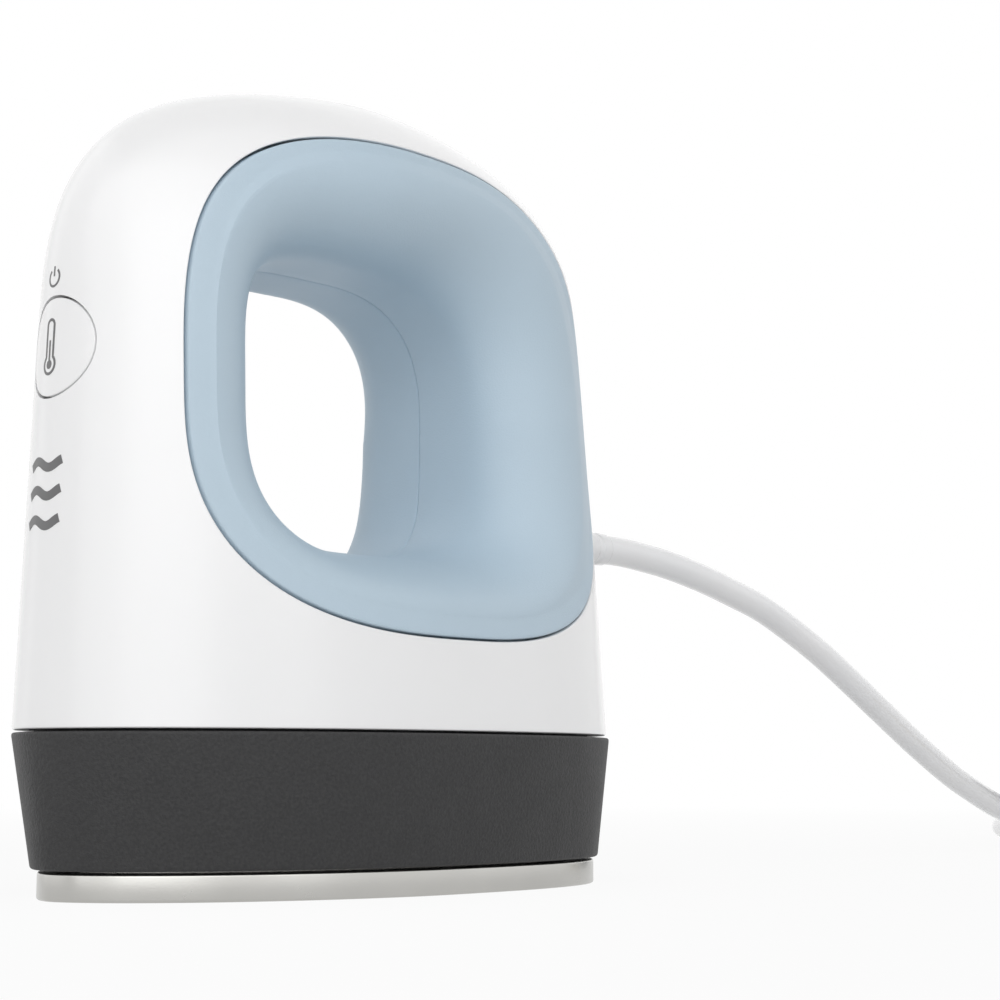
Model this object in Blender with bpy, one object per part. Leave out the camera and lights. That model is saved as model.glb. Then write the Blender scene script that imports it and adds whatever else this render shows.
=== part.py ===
"""Mini heat press: an egg-shaped body with a flared grip opening, standing on its heat plate.

Metres, +Z up. The front, with the button, faces -Y. The cord leaves the rear at +Y.
The fingers go through the grip opening along X. The origin lies on the sole, under the
middle of the body.
"""
import math
from collections import namedtuple

import bmesh
import bpy
from mathutils import Matrix, Vector

MM = 0.001

# Clearances
GAP = 0.3 * MM
HOLE_CLEARANCE = 0.3 * MM
OVERRUN = 5.0 * MM

# Outline seen from above: an egg with its narrow end to the front
PLATE_LENGTH = 83.9 * MM
PLATE_WIDTH = 48.5 * MM
WIDEST_PLACE = 0.65 * MM
PLATE_FRONT_POWER = 1.69
PLATE_REAR_POWER = 2.88
BODY_FRONT_POWER = 1.86
BODY_REAR_POWER = 2.57
CROWN_OUTLINE_POWER = 1.8

# Heat plate
PLATE_EDGE = 3.3 * MM
SOLE_ROUND = 0.35 * MM
BLOCK_TOP = 8.0 * MM
BLOCK_INSET = 5.0 * MM
BLOCK_CHAMFER = 0.6 * MM

# Skirt round the plate
SKIRT_BOTTOM = 3.6 * MM
SKIRT_TOP = 19.95 * MM
SKIRT_FOOT_OVERHANG = 0.75 * MM
SKIRT_TOP_OVERHANG = 3.1 * MM
SKIRT_EDGE_ROUND = 0.5 * MM
SKIRT_WALL = 2.4 * MM
SKIRT_LIP_WIDTH = 2.1 * MM
SKIRT_LIP_THICKNESS = 1.6 * MM
SHELF_TOP = 12.0 * MM
SHELF_THICKNESS = 4.0 * MM
SHELF_WIDTH = 3.2 * MM
UPSTAND_HEIGHT = 2.8 * MM
UPSTAND_WALL = 1.5 * MM

# Housing shell
SHELL_JOINT = 0.3 * MM
SHELL_LEDGE = 0.4 * MM
SHELL_FRONT_LEDGE = 0.0 * MM
SHELL_WALL = 2.2 * MM
BODY_HEIGHT = 104.5 * MM
CROWN_PLACE = -2.7 * MM
FRONT_DRAFT = 0.033
REAR_DRAFT = 0.004
SIDE_DRAFT = 0.044
FRONT_SHOULDER = 71.9 * MM
REAR_SHOULDER = 81.7 * MM
SIDE_SHOULDER = 50.5 * MM
FRONT_CROWN_POWER = 2.73
REAR_CROWN_POWER = 2.48
SIDE_CROWN_POWER = 3.6

# Grip opening, seen from the side: how much of the shell stands round its window,
# and where along its height and length the window is widest
WINDOW_TOP_BAND = 8.1 * MM
WINDOW_BOTTOM_BAND = 11.45 * MM
WINDOW_FRONT_BAND = 9.42 * MM
WINDOW_REAR_BAND = 4.68 * MM
WINDOW_WAIST_SHARE = 0.4683153
WINDOW_MIDDLE_SHARE = 0.4962863
WINDOW_POWERS = {"rear_top": 2.85, "front_top": 3.3, "front_bottom": 2.85, "rear_bottom": 2.6}

# The throat of the grip at the middle of the body, and the flare that leads to it
FLARE_DEPTHS = {"rear": 21.5 * MM, "top": 14.75 * MM, "front": 13.05 * MM, "bottom": 12.4 * MM}
THROAT_WAIST_SHARE = 0.5139814
THROAT_MIDDLE_SHARE = 0.5113924
THROAT_POWERS = {"rear_top": 2.66, "front_top": 4.4, "front_bottom": 3.75, "rear_bottom": 4.6}
LIP_WIDTHS = {"rear": 2.0 * MM, "top": 1.4 * MM, "front": 2.6 * MM, "bottom": 2.7 * MM}
LIP_SINK = 0.4 * MM
LINER_WALL = 1.8 * MM
LINER_FLANGE_WIDTH = 1.2 * MM
LINER_FLANGE_THICKNESS = 1.2 * MM
LINER_SEAT_CLEARANCE = 0.6 * MM

# How the flare runs at four sides of the grip: the rolled band behind its crease, the slope
# it leaves that band with, its roundness, and how much of its depth is straight throat
ROLL_WIDTHS = {"rear": 7.3 * MM, "top": 2.4 * MM, "front": 0.7 * MM, "bottom": 0.1 * MM}
ROLL_SLOPES = {"rear": 0.38, "top": 0.29, "front": 0.09, "bottom": -0.05}
ROUNDNESS_SHARES = {"rear": 0.58, "top": 0.6, "front": 0.56, "bottom": 0.48}
STRAIGHT_SHARES = {"rear": 0.49, "top": 0.45, "front": 0.21, "bottom": 0.08}

# Button in the front of the shell
BUTTON_LEVEL = 66.4 * MM
BUTTON_RADIUS = 6.1 * MM
BUTTON_THICKNESS = 1.6 * MM
BUTTON_EDGE_ROUND = 0.25 * MM
BUTTON_FLANGE_WIDTH = 1.0 * MM
BUTTON_FLANGE_THICKNESS = 0.8 * MM
BUTTON_STEM_RADIUS = 2.2 * MM
BUTTON_STEM_LENGTH = 0.9 * MM
BUTTON_TRAVEL = 0.6 * MM

# Switch, button board and its bracket, from the front to the back
PLUNGER_RADIUS = 1.6 * MM
PLUNGER_LENGTH = 2.7 * MM
PLUNGER_SHOWS = 1.4 * MM
SWITCH_SIDE = 6.2 * MM
SWITCH_DEPTH = 3.2 * MM
BUTTON_BOARD_THICKNESS = 1.5 * MM
BUTTON_BOARD_HALF_WIDTH = 7.2 * MM
BUTTON_BOARD_BOTTOM = 40.5 * MM
BUTTON_BOARD_TOP = 79.0 * MM
BRACKET_THICKNESS = 2.0 * MM
BRACKET_HALF_WIDTH = 7.8 * MM
BRACKET_TOP = 80.0 * MM
BRACKET_FOOT_DEPTH = 6.6 * MM
BRACKET_FOOT_THICKNESS = 2.0 * MM
BRACKET_SCREW_SPREAD = 5.3 * MM
BRACKET_BOSS_RADIUS = 2.2 * MM
BRACKET_BOSS_DEPTH = 2.4 * MM
CONTROL_SCREW_LEVELS = (57.6 * MM, 76.2 * MM)
CABLE_HOLE_LEVEL = 31.5 * MM

# Light guide behind the front, and the lamps that feed it
LAMP_LEVELS = (44.9 * MM, 48.35 * MM, 51.8 * MM)
LAMP_WIDTH = 2.0 * MM
LAMP_HEIGHT = 1.3 * MM
LAMP_DEPTH = 1.0 * MM
GUIDE_BAR_HEIGHT = 1.6 * MM
GUIDE_BAR_HALF_WIDTH = 3.2 * MM
GUIDE_PLATE_THICKNESS = 1.4 * MM
GUIDE_HALF_WIDTH = 5.8 * MM
GUIDE_LEG_WIDTH = 1.2 * MM
GUIDE_MARGIN = 1.2 * MM

# Heating element in its channel
ELEMENT_RADIUS = 2.0 * MM
ELEMENT_SPREAD = 11.0 * MM
ELEMENT_FRONT_BEND_PLACE = -6.0 * MM
ELEMENT_RISER_PLACE = 27.0 * MM
ELEMENT_RISER_BEND = 4.5 * MM
CHANNEL_CLEARANCE = 0.3 * MM

# Insulation between the plate and the chassis
PAD_THICKNESS = 2.5 * MM
PAD_INSET = 0.6 * MM
PAD_HOLE_CLEARANCE = 0.5 * MM

# Chassis
CHASSIS_THICKNESS = 2.0 * MM
PLATE_BOSS_RADIUS = 2.8 * MM
PLATE_SCREW_FRONT_PLACE = -22.6 * MM
PLATE_SCREW_REAR_PLACE = 27.2 * MM
PLATE_SCREW_SIDE_PLACE = 4.0 * MM
PLATE_SCREW_SIDE_SPREAD = 16.0 * MM
CHASSIS_SCREW_SHARES = (0.12, 0.38, 0.75)
BOARD_POST_RADIUS = 2.4 * MM
BOARD_LEVEL = 20.0 * MM
SERVICE_HALF_WIDTH = 7.6 * MM
SERVICE_FRONT = 3.0 * MM
SERVICE_REAR = 22.5 * MM

# Sensor and thermal fuse on the plate
SENSOR_PLACE = 8.0 * MM
SENSOR_RADIUS = 3.4 * MM
SENSOR_THICKNESS = 1.0 * MM
SENSOR_BEAD_RADIUS = 1.1 * MM
SENSOR_BEAD_OFFSET = 3.3 * MM
FUSE_PLACE = 15.6 * MM
FUSE_RADIUS = 1.9 * MM
FUSE_LENGTH = 9.0 * MM
FUSE_CLIP_WIDTH = 4.0 * MM
FUSE_CLIP_THICKNESS = 0.8 * MM
FUSE_CLIP_FOOT = 1.6 * MM

# Main board and what stands on it
BOARD_THICKNESS = 1.6 * MM
BOARD_HALF_WIDTH = 16.6 * MM
BOARD_FRONT = -20.0 * MM
BOARD_REAR = 32.0 * MM
BOARD_CORNER = 4.0 * MM
BOARD_SCREW_SPREAD = 13.8 * MM
BOARD_SCREW_FRONT_PLACE = -15.5 * MM
BOARD_SCREW_REAR_PLACE = 20.0 * MM
FILM_CAPACITOR_SIZE = (17.5 * MM, 7.0 * MM, 12.0 * MM)
FILM_CAPACITOR_PLACE = (-1.0 * MM, -8.0 * MM)
CAN_RADIUS = 4.0 * MM
CAN_LENGTH = 11.0 * MM
CAN_PLACE = (-10.0 * MM, 4.5 * MM)
TRIAC_SIZE = (10.0 * MM, 4.4 * MM, 9.0 * MM)
TRIAC_LEG_LENGTH = 3.0 * MM
TRIAC_LEG_SIDE = 0.9 * MM
TRIAC_LEG_PITCH = 2.5 * MM
TRIAC_PLACE = (4.0 * MM, 3.0 * MM)
HEAT_SINK_SIZE = (14.0 * MM, 6.0 * MM, 13.5 * MM)
HEAT_SINK_WALL = 1.5 * MM
TERMINAL_SIZE = (15.0 * MM, 8.0 * MM, 9.5 * MM)
TERMINAL_PLACE = 26.6 * MM
TERMINAL_PITCH = 7.0 * MM
TERMINAL_MOUTH = 1.4 * MM
TERMINAL_MOUTH_DEPTH = 2.5 * MM
CONNECTOR_SIZE = (8.0 * MM, 4.6 * MM, 5.6 * MM)
CONNECTOR_PLACE = -16.4 * MM
CONTROL_CABLE_RADIUS = 1.1 * MM
CABLE_TURN_SHARE = 0.4
SMALL_BEVEL = 0.4 * MM

# Cord entry at the rear
CORD_DIAMETER = 4.5 * MM
CORD_LEVEL = 49.5 * MM
RELIEF_LENGTH = 13.0 * MM
RELIEF_ROOT_RADIUS = 4.3 * MM
RELIEF_TIP_RADIUS = 2.8 * MM
RELIEF_RIBS = 4
RELIEF_GROOVE = 0.35 * MM
GROOVE_SHARES = (-0.25, -0.1, 0.1, 0.25)
RELIEF_NECK_RADIUS = 3.5 * MM
RELIEF_COLLAR_RADIUS = 5.0 * MM
RELIEF_COLLAR_THICKNESS = 1.5 * MM
RELIEF_COLLAR_CLEARANCE = 0.8 * MM
RELIEF_TAIL_RADIUS = 3.2 * MM
RELIEF_TAIL_LENGTH = 7.0 * MM
CORD_BRACKET_DEPTH = 4.2 * MM
CORD_BRACKET_HALF_WIDTH = 8.2 * MM
CORD_BRACKET_STANDOFF = 1.2 * MM
CORD_POST_WALL = 4.2 * MM
CORD_POST_SETBACK = 1.0 * MM
CORD_BRACKET_FOOT_DEPTH = 5.0 * MM
CORD_BRACKET_FOOT_SPREAD = 6.0 * MM
CLAMP_THICKNESS = 5.4 * MM
CLAMP_SCREW_SPREAD = 5.9 * MM
LEAD_RADIUS = 0.9 * MM
LEAD_SPREAD = 1.3 * MM

# Screws: head and shank radius, head height
SCREW_HEAD_RADIUS = 2.1 * MM
SCREW_HEAD_HEIGHT = 1.5 * MM
SCREW_SHANK_RADIUS = 1.1 * MM
SMALL_HEAD_RADIUS = 1.6 * MM
SMALL_HEAD_HEIGHT = 1.1 * MM
SMALL_SHANK_RADIUS = 0.8 * MM
PLATE_SCREW_BITE = 3.2 * MM
CHASSIS_SCREW_BITE = 2.6 * MM
BOARD_SCREW_BITE = 3.5 * MM
CONTROL_SCREW_BITE = 2.2 * MM
SENSOR_SCREW_BITE = 2.6 * MM
CLAMP_SCREW_BITE = 5.0 * MM

# Power cord: the free stretch, by hand, from the strain relief's tip to the coil
CORD_ROUTE = [
    (0.0, 58.0, 49.5), (0.0, 61.0, 49.5), (0.0, 64.5, 49.3), (0.0, 68.5, 48.9), (0.0, 73.0, 48.4),
    (0.0, 78.5, 47.5), (0.0, 84.5, 46.3), (0.0, 91.5, 44.6), (0.0, 99.0, 42.6), (0.0, 106.5, 39.7),
    (0.0, 115.0, 36.0), (0.0, 123.5, 31.7), (0.0, 134.5, 25.9), (0.0, 146.0, 19.9), (0.0, 158.0, 14.3),
    (0.0, 171.0, 9.5), (-0.3, 178.0, 7.6), (-2.2, 184.0, 6.2), (-5.6, 190.0, 5.2), (-10.0, 196.0, 4.5),
    (-14.4, 201.5, 4.1), (-17.8, 206.0, 3.9), (-22.1, 213.0, 3.9), (-24.3, 219.0, 3.9),
    (-24.8, 223.5, 3.9), (-24.8, 227.0, 3.9),
]
CORD_POINT_SPACING = 11.0 * MM

# Coil that stores the rest of the cord, flat on the table
COIL_SPACING = 5.8 * MM
COIL_LAYER_RISE = 5.2 * MM
COIL_LAYERS = 4
COIL_MEAN_RADIUS = 27.0 * MM
COIL_TURNS_A_LAYER = 2.5
COIL_WOUND_TURNS = 2
COIL_POINTS_A_TURN = 24
COIL_END_SPACING = 5.0 * MM
COIL_END_DIAMETERS = 3
TIE_THICKNESS = 1.0 * MM
TIE_WIDTH = 9.0 * MM
TIE_CORNER = 3.0 * MM

# Plug
PLUG_LENGTH = 27.0 * MM
PLUG_WIDTH = 18.0 * MM
PLUG_HEIGHT = 13.0 * MM
PLUG_NECK_LENGTH = 12.0 * MM
PLUG_CORNER = 2.0 * MM
PLUG_NECK_SHARE = 1.4
PLUG_SHOULDER_SHARES = ((0.85, 0.75, 0.85), (1.1, 1.0, 1.0))
BLADE_LENGTH = 17.0 * MM
BLADE_WIDTH = 6.3 * MM
BLADE_THICKNESS = 1.5 * MM
BLADE_SPREAD = 6.35 * MM
BLADE_TIP = 0.6 * MM

# Fineness of the round forms
CORD_ROUNDING = 3
ELEMENT_ROUNDING = 2
WIRE_ROUNDING = 1
CORNER_STEPS = 3
FACE_RING_SHARES = (0.3, 0.6, 0.85)
SMOOTH_ANGLE = math.radians(40)
LINER_SMOOTH_ANGLE = math.radians(30)
BEVEL_ANGLE = math.radians(50)
AROUND = 64
INNER_AROUND = 44
LINER_AROUND = 56
FLARE_STEPS = 6
WALL_STEPS = 3
CROWN_STEPS = 10
BUTTON_SIDES = 32
PEG_SIDES = 12
SCREW_SIDES = 10
BEND_STEPS = 12

Egg = namedtuple("Egg", "half_width front rear widest front_power rear_power")
Oval = namedtuple("Oval", "place level front rear top bottom powers")

PLATE = Egg(PLATE_WIDTH / 2, -PLATE_LENGTH / 2, PLATE_LENGTH / 2, WIDEST_PLACE,
            PLATE_FRONT_POWER, PLATE_REAR_POWER)

# Levels that follow from the sizes above
SHELL_BASE = SKIRT_TOP + SHELL_JOINT
PAD_BOTTOM = BLOCK_TOP + GAP
PAD_TOP = PAD_BOTTOM + PAD_THICKNESS
CHASSIS_BOTTOM = SHELF_TOP + GAP
CHASSIS_TOP = CHASSIS_BOTTOM + CHASSIS_THICKNESS
BOARD_TOP = BOARD_LEVEL + BOARD_THICKNESS
PARTS_LEVEL = BOARD_TOP + GAP
ELEMENT_LEVEL = BLOCK_TOP - ELEMENT_RADIUS


# Outlines

def signed_power(value, power):
    return math.copysign(abs(value) ** power, value)


def blend(one, other, share):
    return one + (other - one) * share


def grown(egg, by):
    """The same egg, wider by an amount all round."""
    return egg._replace(half_width=egg.half_width + by, front=egg.front - by, rear=egg.rear + by)


def egg_loop(egg, level, count=AROUND):
    """Points of the egg at a level, anticlockwise from its right side."""
    loop = []
    for step in range(count):
        angle = math.tau * step / count
        to_front = math.sin(angle) < 0
        power = 2 / (egg.front_power if to_front else egg.rear_power)
        reach = egg.widest - egg.front if to_front else egg.rear - egg.widest
        x = egg.half_width * signed_power(math.cos(angle), power)
        y = egg.widest + reach * signed_power(math.sin(angle), power)
        loop.append(Vector((x, y, level)))
    return loop


def egg_half_width(egg, y):
    """Half the egg's width at a place along it."""
    to_front = y < egg.widest
    power = egg.front_power if to_front else egg.rear_power
    reach = egg.widest - egg.front if to_front else egg.rear - egg.widest
    share = min(abs(y - egg.widest) / reach, 1)
    return egg.half_width * (1 - share ** power) ** (1 / power)


def egg_front_at(egg, x):
    """Where the egg's front runs at a distance from its middle line."""
    share = min(abs(x) / egg.half_width, 1)
    reach = egg.widest - egg.front
    return egg.widest - reach * (1 - share ** egg.front_power) ** (1 / egg.front_power)


def oval_point(oval, angle, outset):
    """A point (y, z) of an opening's outline, moved outward by an outset."""
    along, up = math.cos(angle), math.sin(angle)
    side = "rear" if along >= 0 else "front"
    half = "top" if up >= 0 else "bottom"
    power = 2 / oval.powers[side + "_" + half]
    y_reach = (oval.rear if along >= 0 else oval.front) + outset
    z_reach = (oval.top if up >= 0 else oval.bottom) + outset
    return oval.place + y_reach * signed_power(along, power), oval.level + z_reach * signed_power(up, power)


def skirt_egg(level):
    """The skirt's outer outline at a level."""
    share = (level - SKIRT_BOTTOM) / (SKIRT_TOP - SKIRT_BOTTOM)
    overhang = blend(SKIRT_FOOT_OVERHANG, SKIRT_TOP_OVERHANG, share)
    toward_body = overhang / SKIRT_TOP_OVERHANG
    return grown(PLATE, overhang)._replace(
        front_power=blend(PLATE_FRONT_POWER, BODY_FRONT_POWER, toward_body),
        rear_power=blend(PLATE_REAR_POWER, BODY_REAR_POWER, toward_body))


def crown(level, shoulder, top, power):
    """How much of its width an outline keeps above its shoulder."""
    share = min(max((level - shoulder) / (top - shoulder), 0), 1)
    return (1 - share ** power) ** (1 / power)


def shell_egg(level, inset):
    """The housing's outline at a level, or that of its inner face when it is inset by the wall."""
    base = grown(skirt_egg(SKIRT_TOP), -SHELL_LEDGE - inset)
    base = base._replace(front=base.front - SHELL_LEDGE + SHELL_FRONT_LEDGE)
    rise = level - SHELL_BASE
    top = BODY_HEIGHT - inset
    share = min(max(rise / (BODY_HEIGHT - SHELL_BASE), 0), 1)
    front_reach = (CROWN_PLACE - base.front - FRONT_DRAFT * rise) * crown(
        level, FRONT_SHOULDER, top, FRONT_CROWN_POWER)
    rear_reach = (base.rear - REAR_DRAFT * rise - CROWN_PLACE) * crown(
        level, REAR_SHOULDER, top, REAR_CROWN_POWER)
    half_width = (base.half_width - SIDE_DRAFT * rise) * crown(level, SIDE_SHOULDER, top, SIDE_CROWN_POWER)
    front, rear = CROWN_PLACE - front_reach, CROWN_PLACE + rear_reach
    widest = min(max(blend(base.widest, CROWN_PLACE, share ** 2), front), rear)
    return Egg(half_width, front, rear, widest,
               blend(BODY_FRONT_POWER, CROWN_OUTLINE_POWER, share),
               blend(BODY_REAR_POWER, CROWN_OUTLINE_POWER, share))


def shell_side(y, z, inset=0):
    """How far the housing's side stands from the middle plane at (y, z)."""
    return egg_half_width(shell_egg(z, inset), y)


def shell_front(x, z, inset=0):
    """Where the housing's front face runs at (x, z)."""
    return egg_front_at(shell_egg(z, inset), x)


def oval_between(front, rear, bottom, top, middle_share, waist_share, powers):
    place, level = blend(front, rear, middle_share), blend(bottom, top, waist_share)
    return Oval(place, level, place - front, rear - place, top - level, level - bottom, powers)


def window_oval():
    """The window's outline, with its bands of the shell round it."""
    bottom, top = SHELL_BASE + WINDOW_BOTTOM_BAND, BODY_HEIGHT - WINDOW_TOP_BAND
    body = shell_egg(blend(bottom, top, WINDOW_WAIST_SHARE), 0)
    return oval_between(body.front + WINDOW_FRONT_BAND, body.rear - WINDOW_REAR_BAND, bottom, top,
                        WINDOW_MIDDLE_SHARE, WINDOW_WAIST_SHARE, WINDOW_POWERS)


def throat_oval(window):
    """The throat's outline, the flare's depth inside the window's."""
    return oval_between(window.place - window.front + FLARE_DEPTHS["front"],
                        window.place + window.rear - FLARE_DEPTHS["rear"],
                        window.level - window.bottom + FLARE_DEPTHS["bottom"],
                        window.level + window.top - FLARE_DEPTHS["top"],
                        THROAT_MIDDLE_SHARE, THROAT_WAIST_SHARE, THROAT_POWERS)


WINDOW = window_oval()
THROAT = throat_oval(WINDOW)


def shell_levels(inset, bottom):
    """Levels of the loft: even up the wall, then closing in over the crown."""
    top = BODY_HEIGHT - inset
    levels = [blend(bottom, SIDE_SHOULDER, step / WALL_STEPS) for step in range(WALL_STEPS)]
    for step in range(CROWN_STEPS):
        share = math.sin(math.pi / 2 * step / CROWN_STEPS) ** (2 / REAR_CROWN_POWER)
        levels.append(blend(SIDE_SHOULDER, top, share))
    return levels


# Mesh helpers

def clear_scene():
    for thing in list(bpy.data.objects):
        bpy.data.objects.remove(thing)


def make_material(name, colour, roughness, metallic=0.0):
    material = bpy.data.materials.new(name)
    material.use_nodes = True
    shader = material.node_tree.nodes["Principled BSDF"]
    shader.inputs["Base Color"].default_value = (*colour, 1.0)
    shader.inputs["Roughness"].default_value = roughness
    shader.inputs["Metallic"].default_value = metallic
    return material


def add_object(name, mesh, material=None, smooth=True, angle=SMOOTH_ANGLE):
    if smooth:
        mesh.shade_smooth()
        mesh.set_sharp_from_angle(angle=angle)
    thing = bpy.data.objects.new(name, mesh)
    bpy.context.collection.objects.link(thing)
    if material:
        mesh.materials.append(material)
    return thing


def finish_mesh(name, form):
    """A mesh from the bmesh, with its faces pointing out."""
    bmesh.ops.recalc_face_normals(form, faces=form.faces)
    mesh = bpy.data.meshes.new(name)
    form.to_mesh(mesh)
    form.free()
    return mesh


def bridge(form, one, other):
    count = len(one)
    for step in range(count):
        after = (step + 1) % count
        form.faces.new((one[step], one[after], other[after], other[step]))


def close_end(form, ring, end):
    """Close a ring with a flat face, or with a fan to a point."""
    if end is None:
        form.faces.new(ring)
        return
    tip = form.verts.new(end)
    for step in range(len(ring)):
        form.faces.new((ring[step], ring[(step + 1) % len(ring)], tip))


def loft(name, loops, start=None, end=None):
    """A solid through loops of points, closed at both ends by a face or by a point."""
    form = bmesh.new()
    rings = [[form.verts.new(point) for point in loop] for loop in loops]
    for one, other in zip(rings, rings[1:]):
        bridge(form, one, other)
    close_end(form, rings[0], start)
    close_end(form, rings[-1], end)
    return finish_mesh(name, form)


def hoop(name, loops):
    """A ring-shaped solid: loops of points joined one to the next, and the last to the first."""
    form = bmesh.new()
    rings = [[form.verts.new(point) for point in loop] for loop in loops]
    for one, other in zip(rings, rings[1:] + rings[:1]):
        bridge(form, one, other)
    return finish_mesh(name, form)


def turned(name, profile, place, direction, sides=PEG_SIDES):
    """A turned solid: (radius, distance) pairs along an axis, closed flat at both ends."""
    turn = direction.to_track_quat("Z", "Y").to_matrix()
    loops = []
    for radius, distance in profile:
        loops.append([place + turn @ Vector((radius * math.cos(math.tau * step / sides),
                                             radius * math.sin(math.tau * step / sides), distance))
                      for step in range(sides)])
    return loft(name, loops)


def box(name, low, high):
    form = bmesh.new()
    bmesh.ops.create_cube(form, size=1)
    middle = (Vector(low) + Vector(high)) / 2
    size = Vector(high) - Vector(low)
    placed = Matrix.Translation(middle) @ Matrix.Diagonal((*size, 1))
    bmesh.ops.transform(form, matrix=placed, verts=form.verts)
    return finish_mesh(name, form)


def merged(name, meshes):
    """One mesh of several closed solids, for cutters and for what is joined to a piece."""
    form = bmesh.new()
    for mesh in meshes:
        form.from_mesh(mesh)
        bpy.data.meshes.remove(mesh)
    mesh = bpy.data.meshes.new(name)
    form.to_mesh(mesh)
    form.free()
    return mesh


def bevel_edges(thing, width, segments=1):
    modifier = thing.modifiers.new("edge", "BEVEL")
    modifier.width = width
    modifier.segments = segments
    modifier.limit_method = "ANGLE"
    modifier.angle_limit = BEVEL_ANGLE
    return thing


def boolean(thing, meshes, operation):
    """Cut the meshes out of a piece, or join them to it, with a guide that stays hidden."""
    guide = add_object(thing.name + "_" + operation.lower() + "_guide", merged("guide", meshes), smooth=False)
    guide.hide_render = True
    guide.display_type = "WIRE"
    guide.hide_set(True)
    modifier = thing.modifiers.new(operation.lower(), "BOOLEAN")
    modifier.object = guide
    modifier.operation = operation
    modifier.solver = "EXACT"
    return thing


def cut(thing, meshes):
    return boolean(thing, meshes, "DIFFERENCE")


def join(thing, meshes):
    return boolean(thing, meshes, "UNION")


def smooth_path(points, spacing):
    """Evenly spaced points on the smooth curve through the route's points."""
    route = [Vector(point) for point in points]
    ends = [2 * route[0] - route[1]] + route + [2 * route[-1] - route[-2]]
    fine = []
    for before, start, end, after in zip(ends, ends[1:], ends[2:], ends[3:]):
        for step in range(BEND_STEPS):
            share = step / BEND_STEPS
            leave, arrive = (end - before) / 2, (after - start) / 2
            toward_end = 3 * share ** 2 - 2 * share ** 3
            fine.append(start * (1 - toward_end) + leave * (share ** 3 - 2 * share ** 2 + share)
                        + end * toward_end + arrive * (share ** 3 - share ** 2))
    fine.append(route[-1])
    lengths = [0]
    for one, other in zip(fine, fine[1:]):
        lengths.append(lengths[-1] + (other - one).length)
    count = max(round(lengths[-1] / spacing), 2)
    path, index = [], 0
    for step in range(count + 1):
        target = lengths[-1] * step / count
        while index < len(lengths) - 2 and lengths[index + 1] < target:
            index += 1
        share = (target - lengths[index]) / (lengths[index + 1] - lengths[index])
        path.append(fine[index].lerp(fine[index + 1], min(max(share, 0), 1)))
    return path


def tube(name, path, radius, resolution, material):
    """A round tube along a path, with filled ends."""
    curve = bpy.data.curves.new(name, "CURVE")
    curve.dimensions = "3D"
    curve.bevel_depth = radius
    curve.bevel_resolution = resolution
    curve.use_fill_caps = True
    spline = curve.splines.new("POLY")
    spline.points.add(len(path) - 1)
    for point, place in zip(spline.points, path):
        point.co = (*place, 1)
    thing = bpy.data.objects.new(name, curve)
    bpy.context.collection.objects.link(thing)
    curve.materials.append(material)
    return thing


def peg(place, direction, radius, length, sides=PEG_SIDES):
    return turned("peg", [(radius, 0), (radius, length)], Vector(place), direction, sides)


UP = Vector((0, 0, 1))
DOWN = Vector((0, 0, -1))
REARWARD = Vector((0, 1, 0))
SIDEWAYS = Vector((1, 0, 0))


def screw(name, seat, direction, grip, materials, small=False):
    """A pan-head screw: its head lies on the seat and its shank goes down the given direction."""
    head_radius = SMALL_HEAD_RADIUS if small else SCREW_HEAD_RADIUS
    head_height = SMALL_HEAD_HEIGHT if small else SCREW_HEAD_HEIGHT
    shank_radius = SMALL_SHANK_RADIUS if small else SCREW_SHANK_RADIUS
    dome = head_height / 3
    profile = [(head_radius - dome, -head_height - GAP), (head_radius, -head_height + dome - GAP),
               (head_radius, -GAP), (shank_radius, -GAP), (shank_radius, grip)]
    form = turned(name, profile, Vector(seat), direction, SCREW_SIDES)
    return add_object(name, form, materials["screw_steel"])


def screw_hole(seat, direction, depth, small=False):
    """The hole for a screw, from a little above its seat to a little past its tip."""
    radius = (SMALL_SHANK_RADIUS if small else SCREW_SHANK_RADIUS) + HOLE_CLEARANCE
    start = Vector(seat) - direction * GAP
    return peg(start, direction, radius, depth + 2 * GAP, SCREW_SIDES)


# Places that several pieces share

def plate_screw_places():
    return [(0, PLATE_SCREW_FRONT_PLACE), (PLATE_SCREW_SIDE_SPREAD, PLATE_SCREW_SIDE_PLACE),
            (-PLATE_SCREW_SIDE_SPREAD, PLATE_SCREW_SIDE_PLACE), (0, PLATE_SCREW_REAR_PLACE)]


def chassis_egg():
    """The skirt's inner wall at the chassis, less a gap."""
    return grown(skirt_egg(CHASSIS_BOTTOM), -SKIRT_WALL - GAP)


def chassis_screw_places():
    line = egg_loop(grown(chassis_egg(), -SHELF_WIDTH / 2), 0, AROUND)
    return [line[round(share * AROUND) % AROUND].xy for share in CHASSIS_SCREW_SHARES]


def board_screw_places():
    return [(BOARD_SCREW_SPREAD, BOARD_SCREW_FRONT_PLACE), (-BOARD_SCREW_SPREAD, BOARD_SCREW_FRONT_PLACE),
            (BOARD_SCREW_SPREAD, BOARD_SCREW_REAR_PLACE)]


def button_face():
    """Where the button's face stands at its middle."""
    return shell_front(0, BUTTON_LEVEL)


def stem_end():
    return button_face() + SHELL_WALL + GAP + BUTTON_FLANGE_THICKNESS + BUTTON_STEM_LENGTH


def plunger_front():
    return stem_end() + GAP


def switch_front():
    return plunger_front() + PLUNGER_SHOWS


def button_board_front():
    return switch_front() + SWITCH_DEPTH + GAP


def bracket_front():
    return button_board_front() + BUTTON_BOARD_THICKNESS + GAP


def rear_wall_inside():
    return shell_egg(CORD_LEVEL, SHELL_WALL).rear


def rear_wall_outside():
    return shell_egg(CORD_LEVEL, 0).rear


def relief_collar_front():
    return rear_wall_inside() - RELIEF_COLLAR_CLEARANCE - RELIEF_COLLAR_THICKNESS


def relief_tail_end():
    return relief_collar_front() - RELIEF_TAIL_LENGTH


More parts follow.
